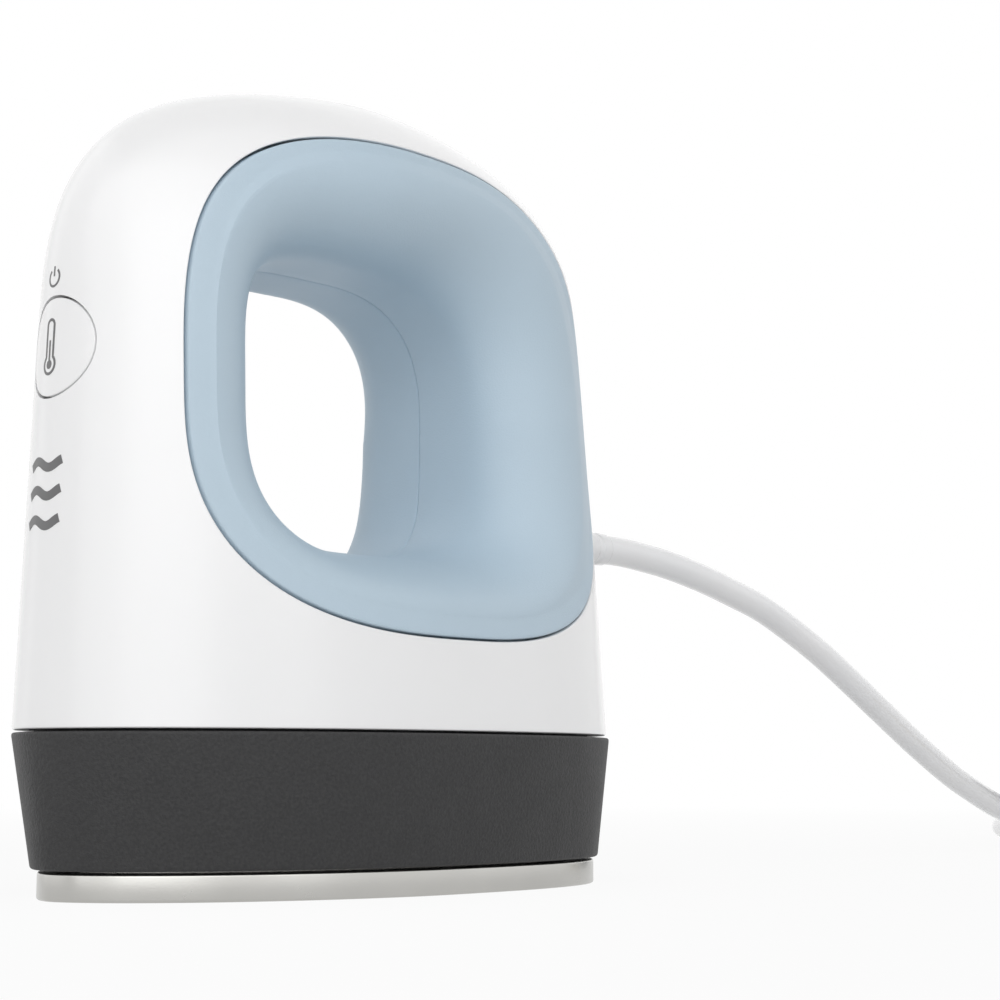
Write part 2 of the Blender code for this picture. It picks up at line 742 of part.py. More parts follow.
def cord_bracket_rear():
    return relief_collar_front() - CORD_BRACKET_STANDOFF


# Base: plate, skirt, element and insulation

def heat_plate(materials):
    """The cast plate: a flat sole with a rounded edge, and a block above it for the element."""
    block = grown(PLATE, -BLOCK_INSET)
    loops = [egg_loop(grown(PLATE, -SOLE_ROUND), 0), egg_loop(grown(PLATE, -SOLE_ROUND / 4), SOLE_ROUND / 4),
             egg_loop(PLATE, SOLE_ROUND), egg_loop(PLATE, PLATE_EDGE - SOLE_ROUND / 2),
             egg_loop(grown(PLATE, -SOLE_ROUND / 2), PLATE_EDGE), egg_loop(block, PLATE_EDGE),
             egg_loop(block, BLOCK_TOP - BLOCK_CHAMFER), egg_loop(grown(block, -BLOCK_CHAMFER), BLOCK_TOP)]
    plate = add_object("heat_plate", loft("heat_plate", loops), materials["plate_metal"])
    cutters = [element_channel()]
    for x, y in plate_screw_places():
        cutters.append(peg((x, y, BLOCK_TOP + GAP), DOWN, SCREW_SHANK_RADIUS + HOLE_CLEARANCE,
                           PLATE_SCREW_BITE + 2 * GAP))
    for y in (SENSOR_PLACE, fuse_foot_place()):
        cutters.append(peg((0, y, BLOCK_TOP + GAP), DOWN, SMALL_SHANK_RADIUS + HOLE_CLEARANCE,
                           SENSOR_SCREW_BITE + 2 * GAP))
    return cut(plate, cutters)


def element_path():
    """Two risers at the rear, two legs along the plate and a half round at the front."""
    top = BOARD_LEVEL - GAP
    bend = ELEMENT_RISER_BEND
    steps = BEND_STEPS // 3
    riser = [Vector((ELEMENT_SPREAD, ELEMENT_RISER_PLACE, top))]
    for step in range(steps + 1):
        angle = math.pi / 2 * step / steps
        riser.append(Vector((ELEMENT_SPREAD, ELEMENT_RISER_PLACE - bend * (1 - math.cos(angle)),
                             ELEMENT_LEVEL + bend * (1 - math.sin(angle)))))
    turn = []
    for step in range(BEND_STEPS + 1):
        angle = math.pi * step / BEND_STEPS
        turn.append(Vector((ELEMENT_SPREAD * math.cos(angle),
                            ELEMENT_FRONT_BEND_PLACE - ELEMENT_SPREAD * math.sin(angle), ELEMENT_LEVEL)))
    other = [Vector((-point.x, point.y, point.z)) for point in reversed(riser)]
    return riser + turn + other


def element_channel():
    """The U-shaped channel that the element lies in, open at the top and the rear."""
    half = ELEMENT_RADIUS + CHANNEL_CLEARANCE
    low, high = ELEMENT_LEVEL - half, BLOCK_TOP + OVERRUN
    line = [Vector((ELEMENT_SPREAD, ELEMENT_RISER_PLACE + half, 0))]
    line += [Vector((point.x, point.y, 0)) for point in element_path() if point.y <= ELEMENT_FRONT_BEND_PLACE]
    line += [Vector((-ELEMENT_SPREAD, ELEMENT_RISER_PLACE + half, 0))]
    loops = []
    for index, point in enumerate(line):
        ahead = line[min(index + 1, len(line) - 1)] - line[max(index - 1, 0)]
        if index in (0, len(line) - 1):
            ahead = Vector((0, -1 if index == 0 else 1, 0))
        side = ahead.normalized().cross(UP) * half
        loops.append([Vector((*(point + shift).xy, level)) for shift, level in
                      ((side, low), (side, high), (-side, high), (-side, low))])
    return loft("channel", loops)


def heating_element(materials):
    return tube("heating_element", element_path(), ELEMENT_RADIUS, ELEMENT_ROUNDING,
                materials["element_steel"])


def insulation_pad(materials):
    """Fibre board on the block, with holes for the bosses, the risers and the service window."""
    outline = grown(PLATE, -BLOCK_INSET - PAD_INSET)
    faces = [egg_loop(outline, level, INNER_AROUND) for level in (PAD_BOTTOM, PAD_TOP)]
    pad = add_object("insulation_pad", loft("insulation_pad", faces), materials["mica"])
    length = PAD_THICKNESS + 2 * OVERRUN
    cutters = [peg((x, y, PAD_BOTTOM - OVERRUN), UP, PLATE_BOSS_RADIUS + PAD_HOLE_CLEARANCE, length)
               for x, y in plate_screw_places()]
    for side in (1, -1):
        reach = ELEMENT_RADIUS + PAD_HOLE_CLEARANCE
        x = side * ELEMENT_SPREAD
        front = ELEMENT_RISER_PLACE - ELEMENT_RISER_BEND - reach
        cutters.append(box("riser_slot", (x - reach, front, PAD_BOTTOM - OVERRUN),
                           (x + reach, ELEMENT_RISER_PLACE + reach, PAD_TOP + OVERRUN)))
    cutters.append(box("window", (-SERVICE_HALF_WIDTH, SERVICE_FRONT, PAD_BOTTOM - OVERRUN),
                       (SERVICE_HALF_WIDTH, SERVICE_REAR, PAD_TOP + OVERRUN)))
    return cut(pad, cutters)


def base_skirt(materials):
    """The dark skirt: a leaning wall with a lip below, a shelf inside and an upstand for the shell."""
    def wall(level, inward):
        return egg_loop(grown(skirt_egg(level), -inward), level)

    shelf_bottom = SHELF_TOP - SHELF_THICKNESS
    lip_top = SKIRT_BOTTOM + SKIRT_LIP_THICKNESS
    upstand_outside = SHELL_LEDGE + SHELL_WALL + GAP
    upstand_inside = upstand_outside + UPSTAND_WALL
    loops = [wall(SKIRT_BOTTOM, SKIRT_EDGE_ROUND), wall(SKIRT_BOTTOM + SKIRT_EDGE_ROUND, 0),
             wall(SKIRT_TOP - SKIRT_EDGE_ROUND, 0), wall(SKIRT_TOP, SKIRT_EDGE_ROUND),
             egg_loop(grown(skirt_egg(SKIRT_TOP), -upstand_outside), SKIRT_TOP),
             egg_loop(grown(skirt_egg(SKIRT_TOP), -upstand_outside), SKIRT_TOP + UPSTAND_HEIGHT),
             egg_loop(grown(skirt_egg(SKIRT_TOP), -upstand_inside), SKIRT_TOP + UPSTAND_HEIGHT),
             wall(SHELF_TOP, SKIRT_WALL),
             wall(SHELF_TOP, SKIRT_WALL + SHELF_WIDTH), wall(shelf_bottom, SKIRT_WALL + SHELF_WIDTH),
             wall(shelf_bottom, SKIRT_WALL), wall(lip_top, SKIRT_WALL),
             wall(lip_top, SKIRT_WALL + SKIRT_LIP_WIDTH), wall(SKIRT_BOTTOM, SKIRT_WALL + SKIRT_LIP_WIDTH)]
    skirt = add_object("base_skirt", hoop("base_skirt", loops), materials["skirt_plastic"])
    return cut(skirt, [peg((x, y, SHELF_TOP + GAP), DOWN, SMALL_SHANK_RADIUS + HOLE_CLEARANCE,
                           CHASSIS_SCREW_BITE + 2 * GAP) for x, y in chassis_screw_places()])


# Chassis and what stands on it

def chassis(materials):
    """The inner frame: a floor on the skirt's shelf, bosses down to the plate and posts for the board."""
    outline = chassis_egg()
    floor = [egg_loop(outline, level, INNER_AROUND) for level in (CHASSIS_BOTTOM, CHASSIS_TOP)]
    frame = add_object("chassis", loft("chassis", floor), materials["chassis_nylon"])
    joined = [peg((x, y, PAD_BOTTOM), UP, PLATE_BOSS_RADIUS, CHASSIS_TOP - PAD_BOTTOM - CHASSIS_THICKNESS / 2)
              for x, y in plate_screw_places()]
    joined += [peg((x, y, CHASSIS_TOP - CHASSIS_THICKNESS / 2), UP, BOARD_POST_RADIUS,
                   BOARD_LEVEL - GAP - CHASSIS_TOP + CHASSIS_THICKNESS / 2) for x, y in board_screw_places()]
    join(frame, joined)
    cutters = [screw_hole((x, y, CHASSIS_TOP + OVERRUN), DOWN, CHASSIS_TOP - PAD_BOTTOM + 2 * OVERRUN)
               for x, y in plate_screw_places()]
    cutters += [screw_hole((x, y, CHASSIS_TOP + OVERRUN), DOWN, CHASSIS_THICKNESS + 2 * OVERRUN, True)
                for x, y in chassis_screw_places() + foot_screw_places() + cord_foot_screw_places()]
    post_hole = SMALL_SHANK_RADIUS + HOLE_CLEARANCE
    cutters += [peg((x, y, BOARD_LEVEL), DOWN, post_hole, BOARD_SCREW_BITE + 2 * GAP)
                for x, y in board_screw_places()]
    for side in (1, -1):
        reach = ELEMENT_RADIUS + PAD_HOLE_CLEARANCE
        x = side * ELEMENT_SPREAD
        cutters.append(peg((x, ELEMENT_RISER_PLACE, CHASSIS_BOTTOM - OVERRUN), UP, reach,
                           CHASSIS_THICKNESS + 2 * OVERRUN))
    cutters.append(box("window", (-SERVICE_HALF_WIDTH, SERVICE_FRONT, CHASSIS_BOTTOM - OVERRUN),
                       (SERVICE_HALF_WIDTH, SERVICE_REAR, CHASSIS_TOP + OVERRUN)))
    return cut(frame, cutters)


def foot_screw_places():
    y = bracket_front() + BRACKET_THICKNESS + (BRACKET_FOOT_DEPTH - BRACKET_THICKNESS) / 2
    return [(BRACKET_SCREW_SPREAD, y), (-BRACKET_SCREW_SPREAD, y)]


def cord_foot_screw_places():
    y = cord_bracket_rear() - CORD_BRACKET_DEPTH - CORD_BRACKET_FOOT_DEPTH / 2
    return [(CORD_BRACKET_FOOT_SPREAD, y), (-CORD_BRACKET_FOOT_SPREAD, y)]


def temperature_sensor(materials):
    """A ring lug on the plate with the sensor's bead beside its screw."""
    base = BLOCK_TOP + GAP
    disc = peg((0, SENSOR_PLACE, base), UP, SENSOR_RADIUS, SENSOR_THICKNESS)
    lug = add_object("temperature_sensor", disc, materials["brass"])
    bead_level = base + SENSOR_THICKNESS / 4 + SENSOR_BEAD_RADIUS
    bead_start = (-SENSOR_RADIUS, SENSOR_PLACE - SENSOR_BEAD_OFFSET, bead_level)
    join(lug, [peg(bead_start, SIDEWAYS, SENSOR_BEAD_RADIUS, 2 * SENSOR_RADIUS)])
    hole_start = (0, SENSOR_PLACE, base + SENSOR_THICKNESS + OVERRUN)
    return cut(lug, [screw_hole(hole_start, DOWN, 2 * OVERRUN, True)])


def fuse_foot_place():
    return FUSE_PLACE + FUSE_RADIUS + GAP + FUSE_CLIP_THICKNESS + FUSE_CLIP_FOOT


def thermal_fuse(materials):
    """The one-shot fuse lying across the plate."""
    tip = FUSE_RADIUS / 2
    profile = [(FUSE_RADIUS - tip, 0), (FUSE_RADIUS, tip),
               (FUSE_RADIUS, FUSE_LENGTH - tip), (FUSE_RADIUS - tip, FUSE_LENGTH)]
    start = Vector((-FUSE_LENGTH / 2, FUSE_PLACE, BLOCK_TOP + GAP + FUSE_RADIUS))
    body = turned("thermal_fuse", profile, start, SIDEWAYS)
    return add_object("thermal_fuse", body, materials["bright_metal"])


def fuse_clip(materials):
    """A spring strap over the fuse, with one foot that its screw holds down."""
    base = BLOCK_TOP + GAP
    middle = base + FUSE_RADIUS
    inner, outer = FUSE_RADIUS + GAP, FUSE_RADIUS + GAP + FUSE_CLIP_THICKNESS
    foot = fuse_foot_place() + FUSE_CLIP_FOOT
    inside = [(foot, base), (FUSE_PLACE + inner, base)]
    outside = [(foot, base + FUSE_CLIP_THICKNESS), (FUSE_PLACE + outer, base + FUSE_CLIP_THICKNESS)]
    for step in range(BEND_STEPS // 2 + 1):
        angle = math.pi * step / (BEND_STEPS // 2)
        inside.append((FUSE_PLACE + inner * math.cos(angle), middle + inner * math.sin(angle)))
        outside.append((FUSE_PLACE + outer * math.cos(angle), middle + outer * math.sin(angle)))
    outline = inside + list(reversed(outside))
    loops = [[Vector((x, y, z)) for y, z in outline] for x in (-FUSE_CLIP_WIDTH / 2, FUSE_CLIP_WIDTH / 2)]
    clip = add_object("fuse_clip", loft("fuse_clip", loops), materials["bright_metal"])
    return cut(clip, [screw_hole((0, fuse_foot_place(), base + OVERRUN), DOWN, 2 * OVERRUN, True)])


def main_board(materials):
    """The power board, with its corners cut off where the body narrows."""
    outline = []
    for x_side, y in ((1, BOARD_FRONT), (1, BOARD_REAR), (-1, BOARD_REAR), (-1, BOARD_FRONT)):
        inward = BOARD_CORNER if y > 0 else -BOARD_CORNER
        corner = [(x_side * (BOARD_HALF_WIDTH - BOARD_CORNER), y), (x_side * BOARD_HALF_WIDTH, y - inward)]
        first_along = (x_side > 0) == (y < 0)
        outline += corner if first_along else reversed(corner)
    loops = [[Vector((x, y, level)) for x, y in outline] for level in (BOARD_LEVEL, BOARD_TOP)]
    board = add_object("main_board", loft("main_board", loops), materials["board_green"], smooth=False)
    return cut(board, [screw_hole((x, y, BOARD_TOP + OVERRUN), DOWN, BOARD_THICKNESS + 2 * OVERRUN, True)
                       for x, y in board_screw_places()])


def standing_box(name, size, place, material):
    """A box with rounded edges, standing on the main board."""
    (x, y), (width, depth, height) = place, size
    block = box(name, (x - width / 2, y - depth / 2, PARTS_LEVEL),
                (x + width / 2, y + depth / 2, PARTS_LEVEL + height))
    return bevel_edges(add_object(name, block, material, smooth=False), SMALL_BEVEL)


def supply_capacitor(materials):
    rim = CAN_RADIUS / 6
    profile = [(CAN_RADIUS, 0), (CAN_RADIUS, rim), (CAN_RADIUS - rim / 2, 2 * rim), (CAN_RADIUS, 3 * rim),
               (CAN_RADIUS, CAN_LENGTH - rim / 2), (CAN_RADIUS - rim / 2, CAN_LENGTH)]
    can = turned("supply_capacitor", profile, Vector((*CAN_PLACE, PARTS_LEVEL)), UP)
    return add_object("supply_capacitor", can, materials["can_sleeve"])


def triac(materials):
    """The switching semiconductor on its three legs, flat against the heat sink."""
    width, depth, height = TRIAC_SIZE
    x, y = TRIAC_PLACE
    base = PARTS_LEVEL + TRIAC_LEG_LENGTH
    package = box("triac", (x - width / 2, y - depth / 2, base),
                  (x + width / 2, y + depth / 2, base + height))
    body = add_object("triac", package, materials["black_plastic"], smooth=False)
    legs = []
    for step in (-1, 0, 1):
        middle = x + step * TRIAC_LEG_PITCH
        legs.append(box("leg", (middle - TRIAC_LEG_SIDE / 2, y - TRIAC_LEG_SIDE / 2, PARTS_LEVEL),
                        (middle + TRIAC_LEG_SIDE / 2, y + TRIAC_LEG_SIDE / 2, base + height / 2)))
    return join(body, legs)


def heat_sink(materials):
    """A bent aluminium angle behind the triac."""
    width, depth, height = HEAT_SINK_SIZE
    x = TRIAC_PLACE[0]
    front = TRIAC_PLACE[1] + TRIAC_SIZE[1] / 2 + GAP
    wall = HEAT_SINK_WALL
    outline = [(front, PARTS_LEVEL), (front + depth, PARTS_LEVEL), (front + depth, PARTS_LEVEL + wall),
               (front + wall, PARTS_LEVEL + wall), (front + wall, PARTS_LEVEL + height),
               (front, PARTS_LEVEL + height)]
    loops = [[Vector((side, y, z)) for y, z in outline] for side in (x - width / 2, x + width / 2)]
    return add_object("heat_sink", loft("heat_sink", loops), materials["bright_metal"], smooth=False)


def terminal_places():
    return [-TERMINAL_PITCH / 2, TERMINAL_PITCH / 2]


def terminal_block(materials):
    """The mains terminals, with a mouth in the top for each lead."""
    block = standing_box("terminal_block", TERMINAL_SIZE, (0, TERMINAL_PLACE), materials["terminal_grey"])
    top = PARTS_LEVEL + TERMINAL_SIZE[2]
    mouths = [peg((x, TERMINAL_PLACE, top + OVERRUN), DOWN, TERMINAL_MOUTH, OVERRUN + TERMINAL_MOUTH_DEPTH)
              for x in terminal_places()]
    return cut(block, mouths)


def main_leads(materials):
    """The cord's two cores, from the strain relief's inner end down to the terminals."""
    top = PARTS_LEVEL + TERMINAL_SIZE[2] - TERMINAL_MOUTH_DEPTH + GAP
    start = relief_tail_end() - GAP
    drop = start - TERMINAL_PLACE
    for name, side, colour in (("live_lead", -1, "lead_brown"), ("neutral_lead", 1, "lead_blue")):
        near, far = side * LEAD_SPREAD, side * TERMINAL_PITCH / 2
        route = [(near, start, CORD_LEVEL), (near, start - drop / 4, CORD_LEVEL),
                 (blend(near, far, 1 / 3), start - drop * 2 / 3, CORD_LEVEL - drop / 3),
                 (far, TERMINAL_PLACE, CORD_LEVEL - drop),
                 (far, TERMINAL_PLACE, (CORD_LEVEL - drop + top) / 2),
                 (far, TERMINAL_PLACE, top)]
        tube(name, smooth_path(route, 2 * LEAD_RADIUS), LEAD_RADIUS, WIRE_ROUNDING, materials[colour])


def control_cable(materials):
    """The lead from the main board through the bracket to the foot of the button board."""
    low = PARTS_LEVEL + CONNECTOR_SIZE[2] + GAP
    middle = button_board_front() + BUTTON_BOARD_THICKNESS / 2
    bend = 2 * CONTROL_CABLE_RADIUS
    front, back = bracket_front(), bracket_front() + BRACKET_THICKNESS
    low += GAP
    route = [(0, CONNECTOR_PLACE, low), (0, CONNECTOR_PLACE, low + bend / 2),
             (0, blend(CONNECTOR_PLACE, back, CABLE_TURN_SHARE), CABLE_HOLE_LEVEL),
             (0, back + bend / 2, CABLE_HOLE_LEVEL),
             (0, front, CABLE_HOLE_LEVEL), (0, front - bend, CABLE_HOLE_LEVEL + bend / 2),
             (0, middle - bend / 2, CABLE_HOLE_LEVEL + 2 * bend), (0, middle, BUTTON_BOARD_BOTTOM - bend / 2),
             (0, middle, BUTTON_BOARD_BOTTOM - GAP)]
    path = smooth_path(route, CONTROL_CABLE_RADIUS * 3 / 2)
    return tube("control_cable", path, CONTROL_CABLE_RADIUS, WIRE_ROUNDING, materials["lead_white"])


# Controls behind the front

def control_bracket(materials):
    """An upright on a foot, with bosses for the button board's screws and a hole for its cable."""
    front = bracket_front()
    back = front + BRACKET_THICKNESS
    base = CHASSIS_TOP + GAP
    foot, foot_top = front + BRACKET_FOOT_DEPTH, base + BRACKET_FOOT_THICKNESS
    outline = [(front, base), (foot, base), (foot, foot_top), (back, foot_top),
               (back, BRACKET_TOP), (front, BRACKET_TOP)]
    loops = [[Vector((x, y, z)) for y, z in outline] for x in (-BRACKET_HALF_WIDTH, BRACKET_HALF_WIDTH)]
    bracket = add_object("control_bracket", loft("control_bracket", loops), materials["chassis_nylon"],
                         smooth=False)
    join(bracket, [peg((0, back - BRACKET_THICKNESS / 2, level), REARWARD, BRACKET_BOSS_RADIUS,
                       BRACKET_BOSS_DEPTH + BRACKET_THICKNESS / 2) for level in CONTROL_SCREW_LEVELS])
    cutters = [screw_hole((0, front - OVERRUN, level), REARWARD, 3 * OVERRUN, True)
               for level in CONTROL_SCREW_LEVELS]
    cutters += [screw_hole((x, y, base + OVERRUN), DOWN, 2 * OVERRUN, True) for x, y in foot_screw_places()]
    cutters.append(peg((0, front - OVERRUN, CABLE_HOLE_LEVEL), REARWARD,
                       2 * CONTROL_CABLE_RADIUS, 2 * OVERRUN))
    return cut(bracket, cutters)


def button_board(materials):
    """The upright board behind the button, with a hole for each of its screws."""
    front = button_board_front()
    sheet = box("button_board", (-BUTTON_BOARD_HALF_WIDTH, front, BUTTON_BOARD_BOTTOM),
                (BUTTON_BOARD_HALF_WIDTH, front + BUTTON_BOARD_THICKNESS, BUTTON_BOARD_TOP))
    board = add_object("button_board", sheet, materials["board_green"], smooth=False)
    return cut(board, [screw_hole((0, front - OVERRUN, level), REARWARD, 3 * OVERRUN, True)
                       for level in CONTROL_SCREW_LEVELS])


def switch_body(materials):
    """The push switch, with a bore for its plunger."""
    half, front = SWITCH_SIDE / 2, switch_front()
    block = box("switch_body", (-half, front, BUTTON_LEVEL - half),
                (half, front + SWITCH_DEPTH, BUTTON_LEVEL + half))
    body = add_object("switch_body", block, materials["black_plastic"], smooth=False)
    bevel_edges(body, SMALL_BEVEL)
    depth = PLUNGER_LENGTH - PLUNGER_SHOWS + BUTTON_TRAVEL + GAP
    bore = peg((0, front - OVERRUN, BUTTON_LEVEL), REARWARD, PLUNGER_RADIUS + GAP, OVERRUN + depth)
    return cut(body, [bore])


def switch_plunger(materials):
    """The switch's pin, whose origin is the middle of its tip."""
    profile = [(PLUNGER_RADIUS - GAP, 0), (PLUNGER_RADIUS, GAP), (PLUNGER_RADIUS, PLUNGER_LENGTH)]
    middle = Vector((0, plunger_front(), BUTTON_LEVEL))
    pin = turned("switch_plunger", profile, Vector((0, 0, 0)), REARWARD)
    plunger = add_object("switch_plunger", pin, materials["plunger_red"])
    plunger.location = middle
    return plunger


def status_lamps(materials):
    """Three small lamps on the button board, one behind each bar of the light guide."""
    rear = button_board_front() - GAP
    for index, level in enumerate(LAMP_LEVELS, 1):
        name = "status_lamp_%d" % index
        lamp = box(name, (-LAMP_WIDTH / 2, rear - LAMP_DEPTH, level - LAMP_HEIGHT / 2),
                   (LAMP_WIDTH / 2, rear, level + LAMP_HEIGHT / 2))
        add_object(name, lamp, materials["lamp_white"], smooth=False)


def light_guide(materials):
    """Three clear bars that reach the back of the front wall, on a plate with two legs."""
    low, high = LAMP_LEVELS[0] - GUIDE_MARGIN, LAMP_LEVELS[-1] + GUIDE_MARGIN
    back = button_board_front() - GAP - LAMP_DEPTH - GAP
    front = back - GUIDE_PLATE_THICKNESS
    slab = box("light_guide", (-GUIDE_HALF_WIDTH, front, low), (GUIDE_HALF_WIDTH, back, high))
    plate = add_object("light_guide", slab, materials["clear_plastic"], smooth=False)
    pieces = []
    for level in LAMP_LEVELS:
        reach = shell_front(GUIDE_BAR_HALF_WIDTH, level, SHELL_WALL) + GAP
        back = front + GUIDE_PLATE_THICKNESS / 2
        pieces.append(box("bar", (-GUIDE_BAR_HALF_WIDTH, reach, level - GUIDE_BAR_HEIGHT / 2),
                          (GUIDE_BAR_HALF_WIDTH, back, level + GUIDE_BAR_HEIGHT / 2)))
    for side in (1, -1):
        inner, outer = side * (GUIDE_HALF_WIDTH - GUIDE_LEG_WIDTH), side * GUIDE_HALF_WIDTH
        pieces.append(box("leg", (min(inner, outer), front + GUIDE_PLATE_THICKNESS / 2, low),
                          (max(inner, outer), button_board_front() - GAP, high)))
    return join(plate, pieces)


def button_cap(materials):
    """The round button: its face follows the housing's front, with a flange behind the wall."""
    def ring(radius, depth, inset=0):
        loop = []
        for step in range(BUTTON_SIDES):
            angle = math.tau * step / BUTTON_SIDES
            x, z = radius * math.cos(angle), BUTTON_LEVEL + radius * math.sin(angle)
            loop.append(Vector((x, shell_front(x, z, inset) + depth, z)))
        return loop

    flange = BUTTON_RADIUS + BUTTON_FLANGE_WIDTH
    stem = [Vector((BUTTON_STEM_RADIUS * math.cos(math.tau * step / BUTTON_SIDES), stem_end(),
                    BUTTON_LEVEL + BUTTON_STEM_RADIUS * math.sin(math.tau * step / BUTTON_SIDES)))
            for step in range(BUTTON_SIDES)]
    loops = [ring(BUTTON_RADIUS * share, 0) for share in FACE_RING_SHARES]
    loops += [ring(BUTTON_RADIUS - BUTTON_EDGE_ROUND, 0), ring(BUTTON_RADIUS, BUTTON_EDGE_ROUND),
              ring(BUTTON_RADIUS, GAP, SHELL_WALL), ring(flange, GAP, SHELL_WALL),
              ring(flange, GAP + BUTTON_FLANGE_THICKNESS, SHELL_WALL),
              ring(BUTTON_STEM_RADIUS, GAP + BUTTON_FLANGE_THICKNESS, SHELL_WALL), stem]
    origin = Vector((0, button_face(), BUTTON_LEVEL))
    loops = [[point - origin for point in loop] for loop in loops]
    cap = add_object("button_cap", loft("button_cap", loops, start=Vector((0, 0, 0))),
                     materials["white_gloss"])
    cap.location = origin
    return cap


# Housing

def housing_shell(materials):
    """The one-piece white housing: a thin wall with a window in each side for the grip."""
    def body(inset, bottom, count):
        loops = [egg_loop(shell_egg(level, inset), level, count) for level in shell_levels(inset, bottom)]
        top = Vector((0, CROWN_PLACE, BODY_HEIGHT - inset))
        return loft("housing", loops, end=top)

    shell = add_object("housing_shell", body(0, SHELL_BASE, AROUND), materials["white_gloss"])
    hollow = body(SHELL_WALL, SHELL_BASE - OVERRUN, INNER_AROUND)
    cut(shell, [hollow])
    reach = PLATE_WIDTH / 2 + OVERRUN
    outline = [oval_point(WINDOW, math.tau * step / LINER_AROUND, 0) for step in range(LINER_AROUND)]
    window = loft("window", [[Vector((x, y, z)) for y, z in outline] for x in (-reach, reach)])
    front, rear = button_face(), rear_wall_inside()
    button_hole = peg((0, front - OVERRUN, BUTTON_LEVEL), REARWARD, BUTTON_RADIUS + GAP,
                      2 * OVERRUN, BUTTON_SIDES)
    cord_hole = peg((0, rear - OVERRUN, CORD_LEVEL), REARWARD, RELIEF_NECK_RADIUS + GAP, 3 * OVERRUN)
    return cut(shell, [window, button_hole, cord_hole])


def around(values, angle):
    """A value at an angle round the grip, from those at its rear, top, front and bottom."""
    along, up = math.cos(angle), math.sin(angle)
    across = values["rear"] if along > 0 else values["front"]
    upright = values["top"] if up > 0 else values["bottom"]
    return across * along ** 2 + upright * up ** 2


def seat(angle, outset, wall, sink):
    """A point on the housing's side, by its outset from the window's outline, and sunk below its face."""
    y, z = oval_point(WINDOW, angle, outset)
    return Vector((shell_side(y, z, wall) - sink, y, z))


def flare_curve(shoulder, angle):
    """The four guide points of the flare, from its shoulder to where the straight throat begins."""
    throat = Vector((GAP / 2 + shoulder.x * around(STRAIGHT_SHARES, angle), *oval_point(THROAT, angle, 0)))
    inward = Vector((0, throat.y - shoulder.y, throat.z - shoulder.z))
    roundness = around(ROUNDNESS_SHARES, angle)
    outward = Vector((inward.length * around(ROLL_SLOPES, angle), 0, 0))
    first = shoulder + (inward + outward) * roundness
    second = throat + Vector(((shoulder.x - throat.x) * roundness, 0, 0))
    return shoulder, first, second, throat


def on_curve(guides, share):
    """A point of the curve, and the way the flare's face looks there."""
    one, two, three, four = guides
    left = 1 - share
    point = one * left ** 3 + two * 3 * left ** 2 * share + three * 3 * left * share ** 2 + four * share ** 3
    ahead = (two - one) * left ** 2 + (three - two) * 2 * left * share + (four - three) * share ** 2
    inward = Vector((0, four.y - one.y, four.z - one.z)).normalized()
    facing = Vector((ahead.dot(inward), 0, 0)) - inward * ahead.x
    return point, facing.normalized()


def liner_station(angle):
    """The closed outline of a liner's section at an angle round the grip, beginning at its rim."""
    lip, roll = GAP + around(LIP_WIDTHS, angle), around(ROLL_WIDTHS, angle)
    deep = LINER_SEAT_CLEARANCE + LINER_FLANGE_THICKNESS
    outline = [seat(angle, -GAP, 0, 0)]
    outline += [seat(angle, -lip - roll * share, 0, LIP_SINK) for share in (0, 0.5, 1)]
    guides = flare_curve(outline[-1], angle)
    face = [on_curve(guides, step / FLARE_STEPS) for step in range(FLARE_STEPS + 1)]
    outline += [point for point, _ in face[1:]]
    outline += [Vector((GAP / 2, *oval_point(THROAT, angle, outset))) for outset in (0, LINER_WALL)]
    outline += [point - facing * LINER_WALL for point, facing in face[::-2]]
    outline += [seat(angle, -lip, SHELL_WALL, deep), seat(angle, LINER_FLANGE_WIDTH, SHELL_WALL, deep),
                seat(angle, LINER_FLANGE_WIDTH, SHELL_WALL, LINER_SEAT_CLEARANCE),
                seat(angle, -GAP, SHELL_WALL, LINER_SEAT_CLEARANCE)]
    return outline


def grip_liners(materials):
    """The left and right liners, which meet face to face at the middle of the grip."""
    stations = [liner_station(math.tau * step / LINER_AROUND) for step in range(LINER_AROUND)]
    for name, side in (("right_grip_liner", 1), ("left_grip_liner", -1)):
        loops = [[Vector((side * point.x, point.y, point.z)) for point in station] for station in stations]
        add_object(name, hoop(name, loops), materials["liner_blue"], angle=LINER_SMOOTH_ANGLE)


# Cord entry, cord, coil and plug

def strain_relief(materials):
    """The moulded relief: a tail in the clamp, a collar inside the wall and a ribbed taper outside."""
    tail_end, collar = relief_tail_end(), relief_collar_front()
    inside, outside = rear_wall_inside(), rear_wall_outside()
    collar_back = inside - RELIEF_COLLAR_CLEARANCE - tail_end
    start = outside + GAP - tail_end
    profile = [(RELIEF_TAIL_RADIUS, 0), (RELIEF_TAIL_RADIUS, collar - tail_end),
               (RELIEF_COLLAR_RADIUS, collar - tail_end), (RELIEF_COLLAR_RADIUS, collar_back),
               (RELIEF_NECK_RADIUS, collar_back), (RELIEF_NECK_RADIUS, start), (RELIEF_ROOT_RADIUS, start)]
    pitch = RELIEF_LENGTH / (RELIEF_RIBS + 1)
    for rib in range(1, RELIEF_RIBS + 1):
        for share, depth in zip(GROOVE_SHARES, (0, RELIEF_GROOVE, RELIEF_GROOVE, 0)):
            place = (rib + share) * pitch
            taper = blend(RELIEF_ROOT_RADIUS, RELIEF_TIP_RADIUS, place / RELIEF_LENGTH)
            profile.append((taper - depth, start + place))
    profile.append((RELIEF_TIP_RADIUS, start + RELIEF_LENGTH))
    sleeve = turned("strain_relief", profile, Vector((0, tail_end, CORD_LEVEL)), REARWARD)
    return add_object("strain_relief", sleeve, materials["cord_white"])


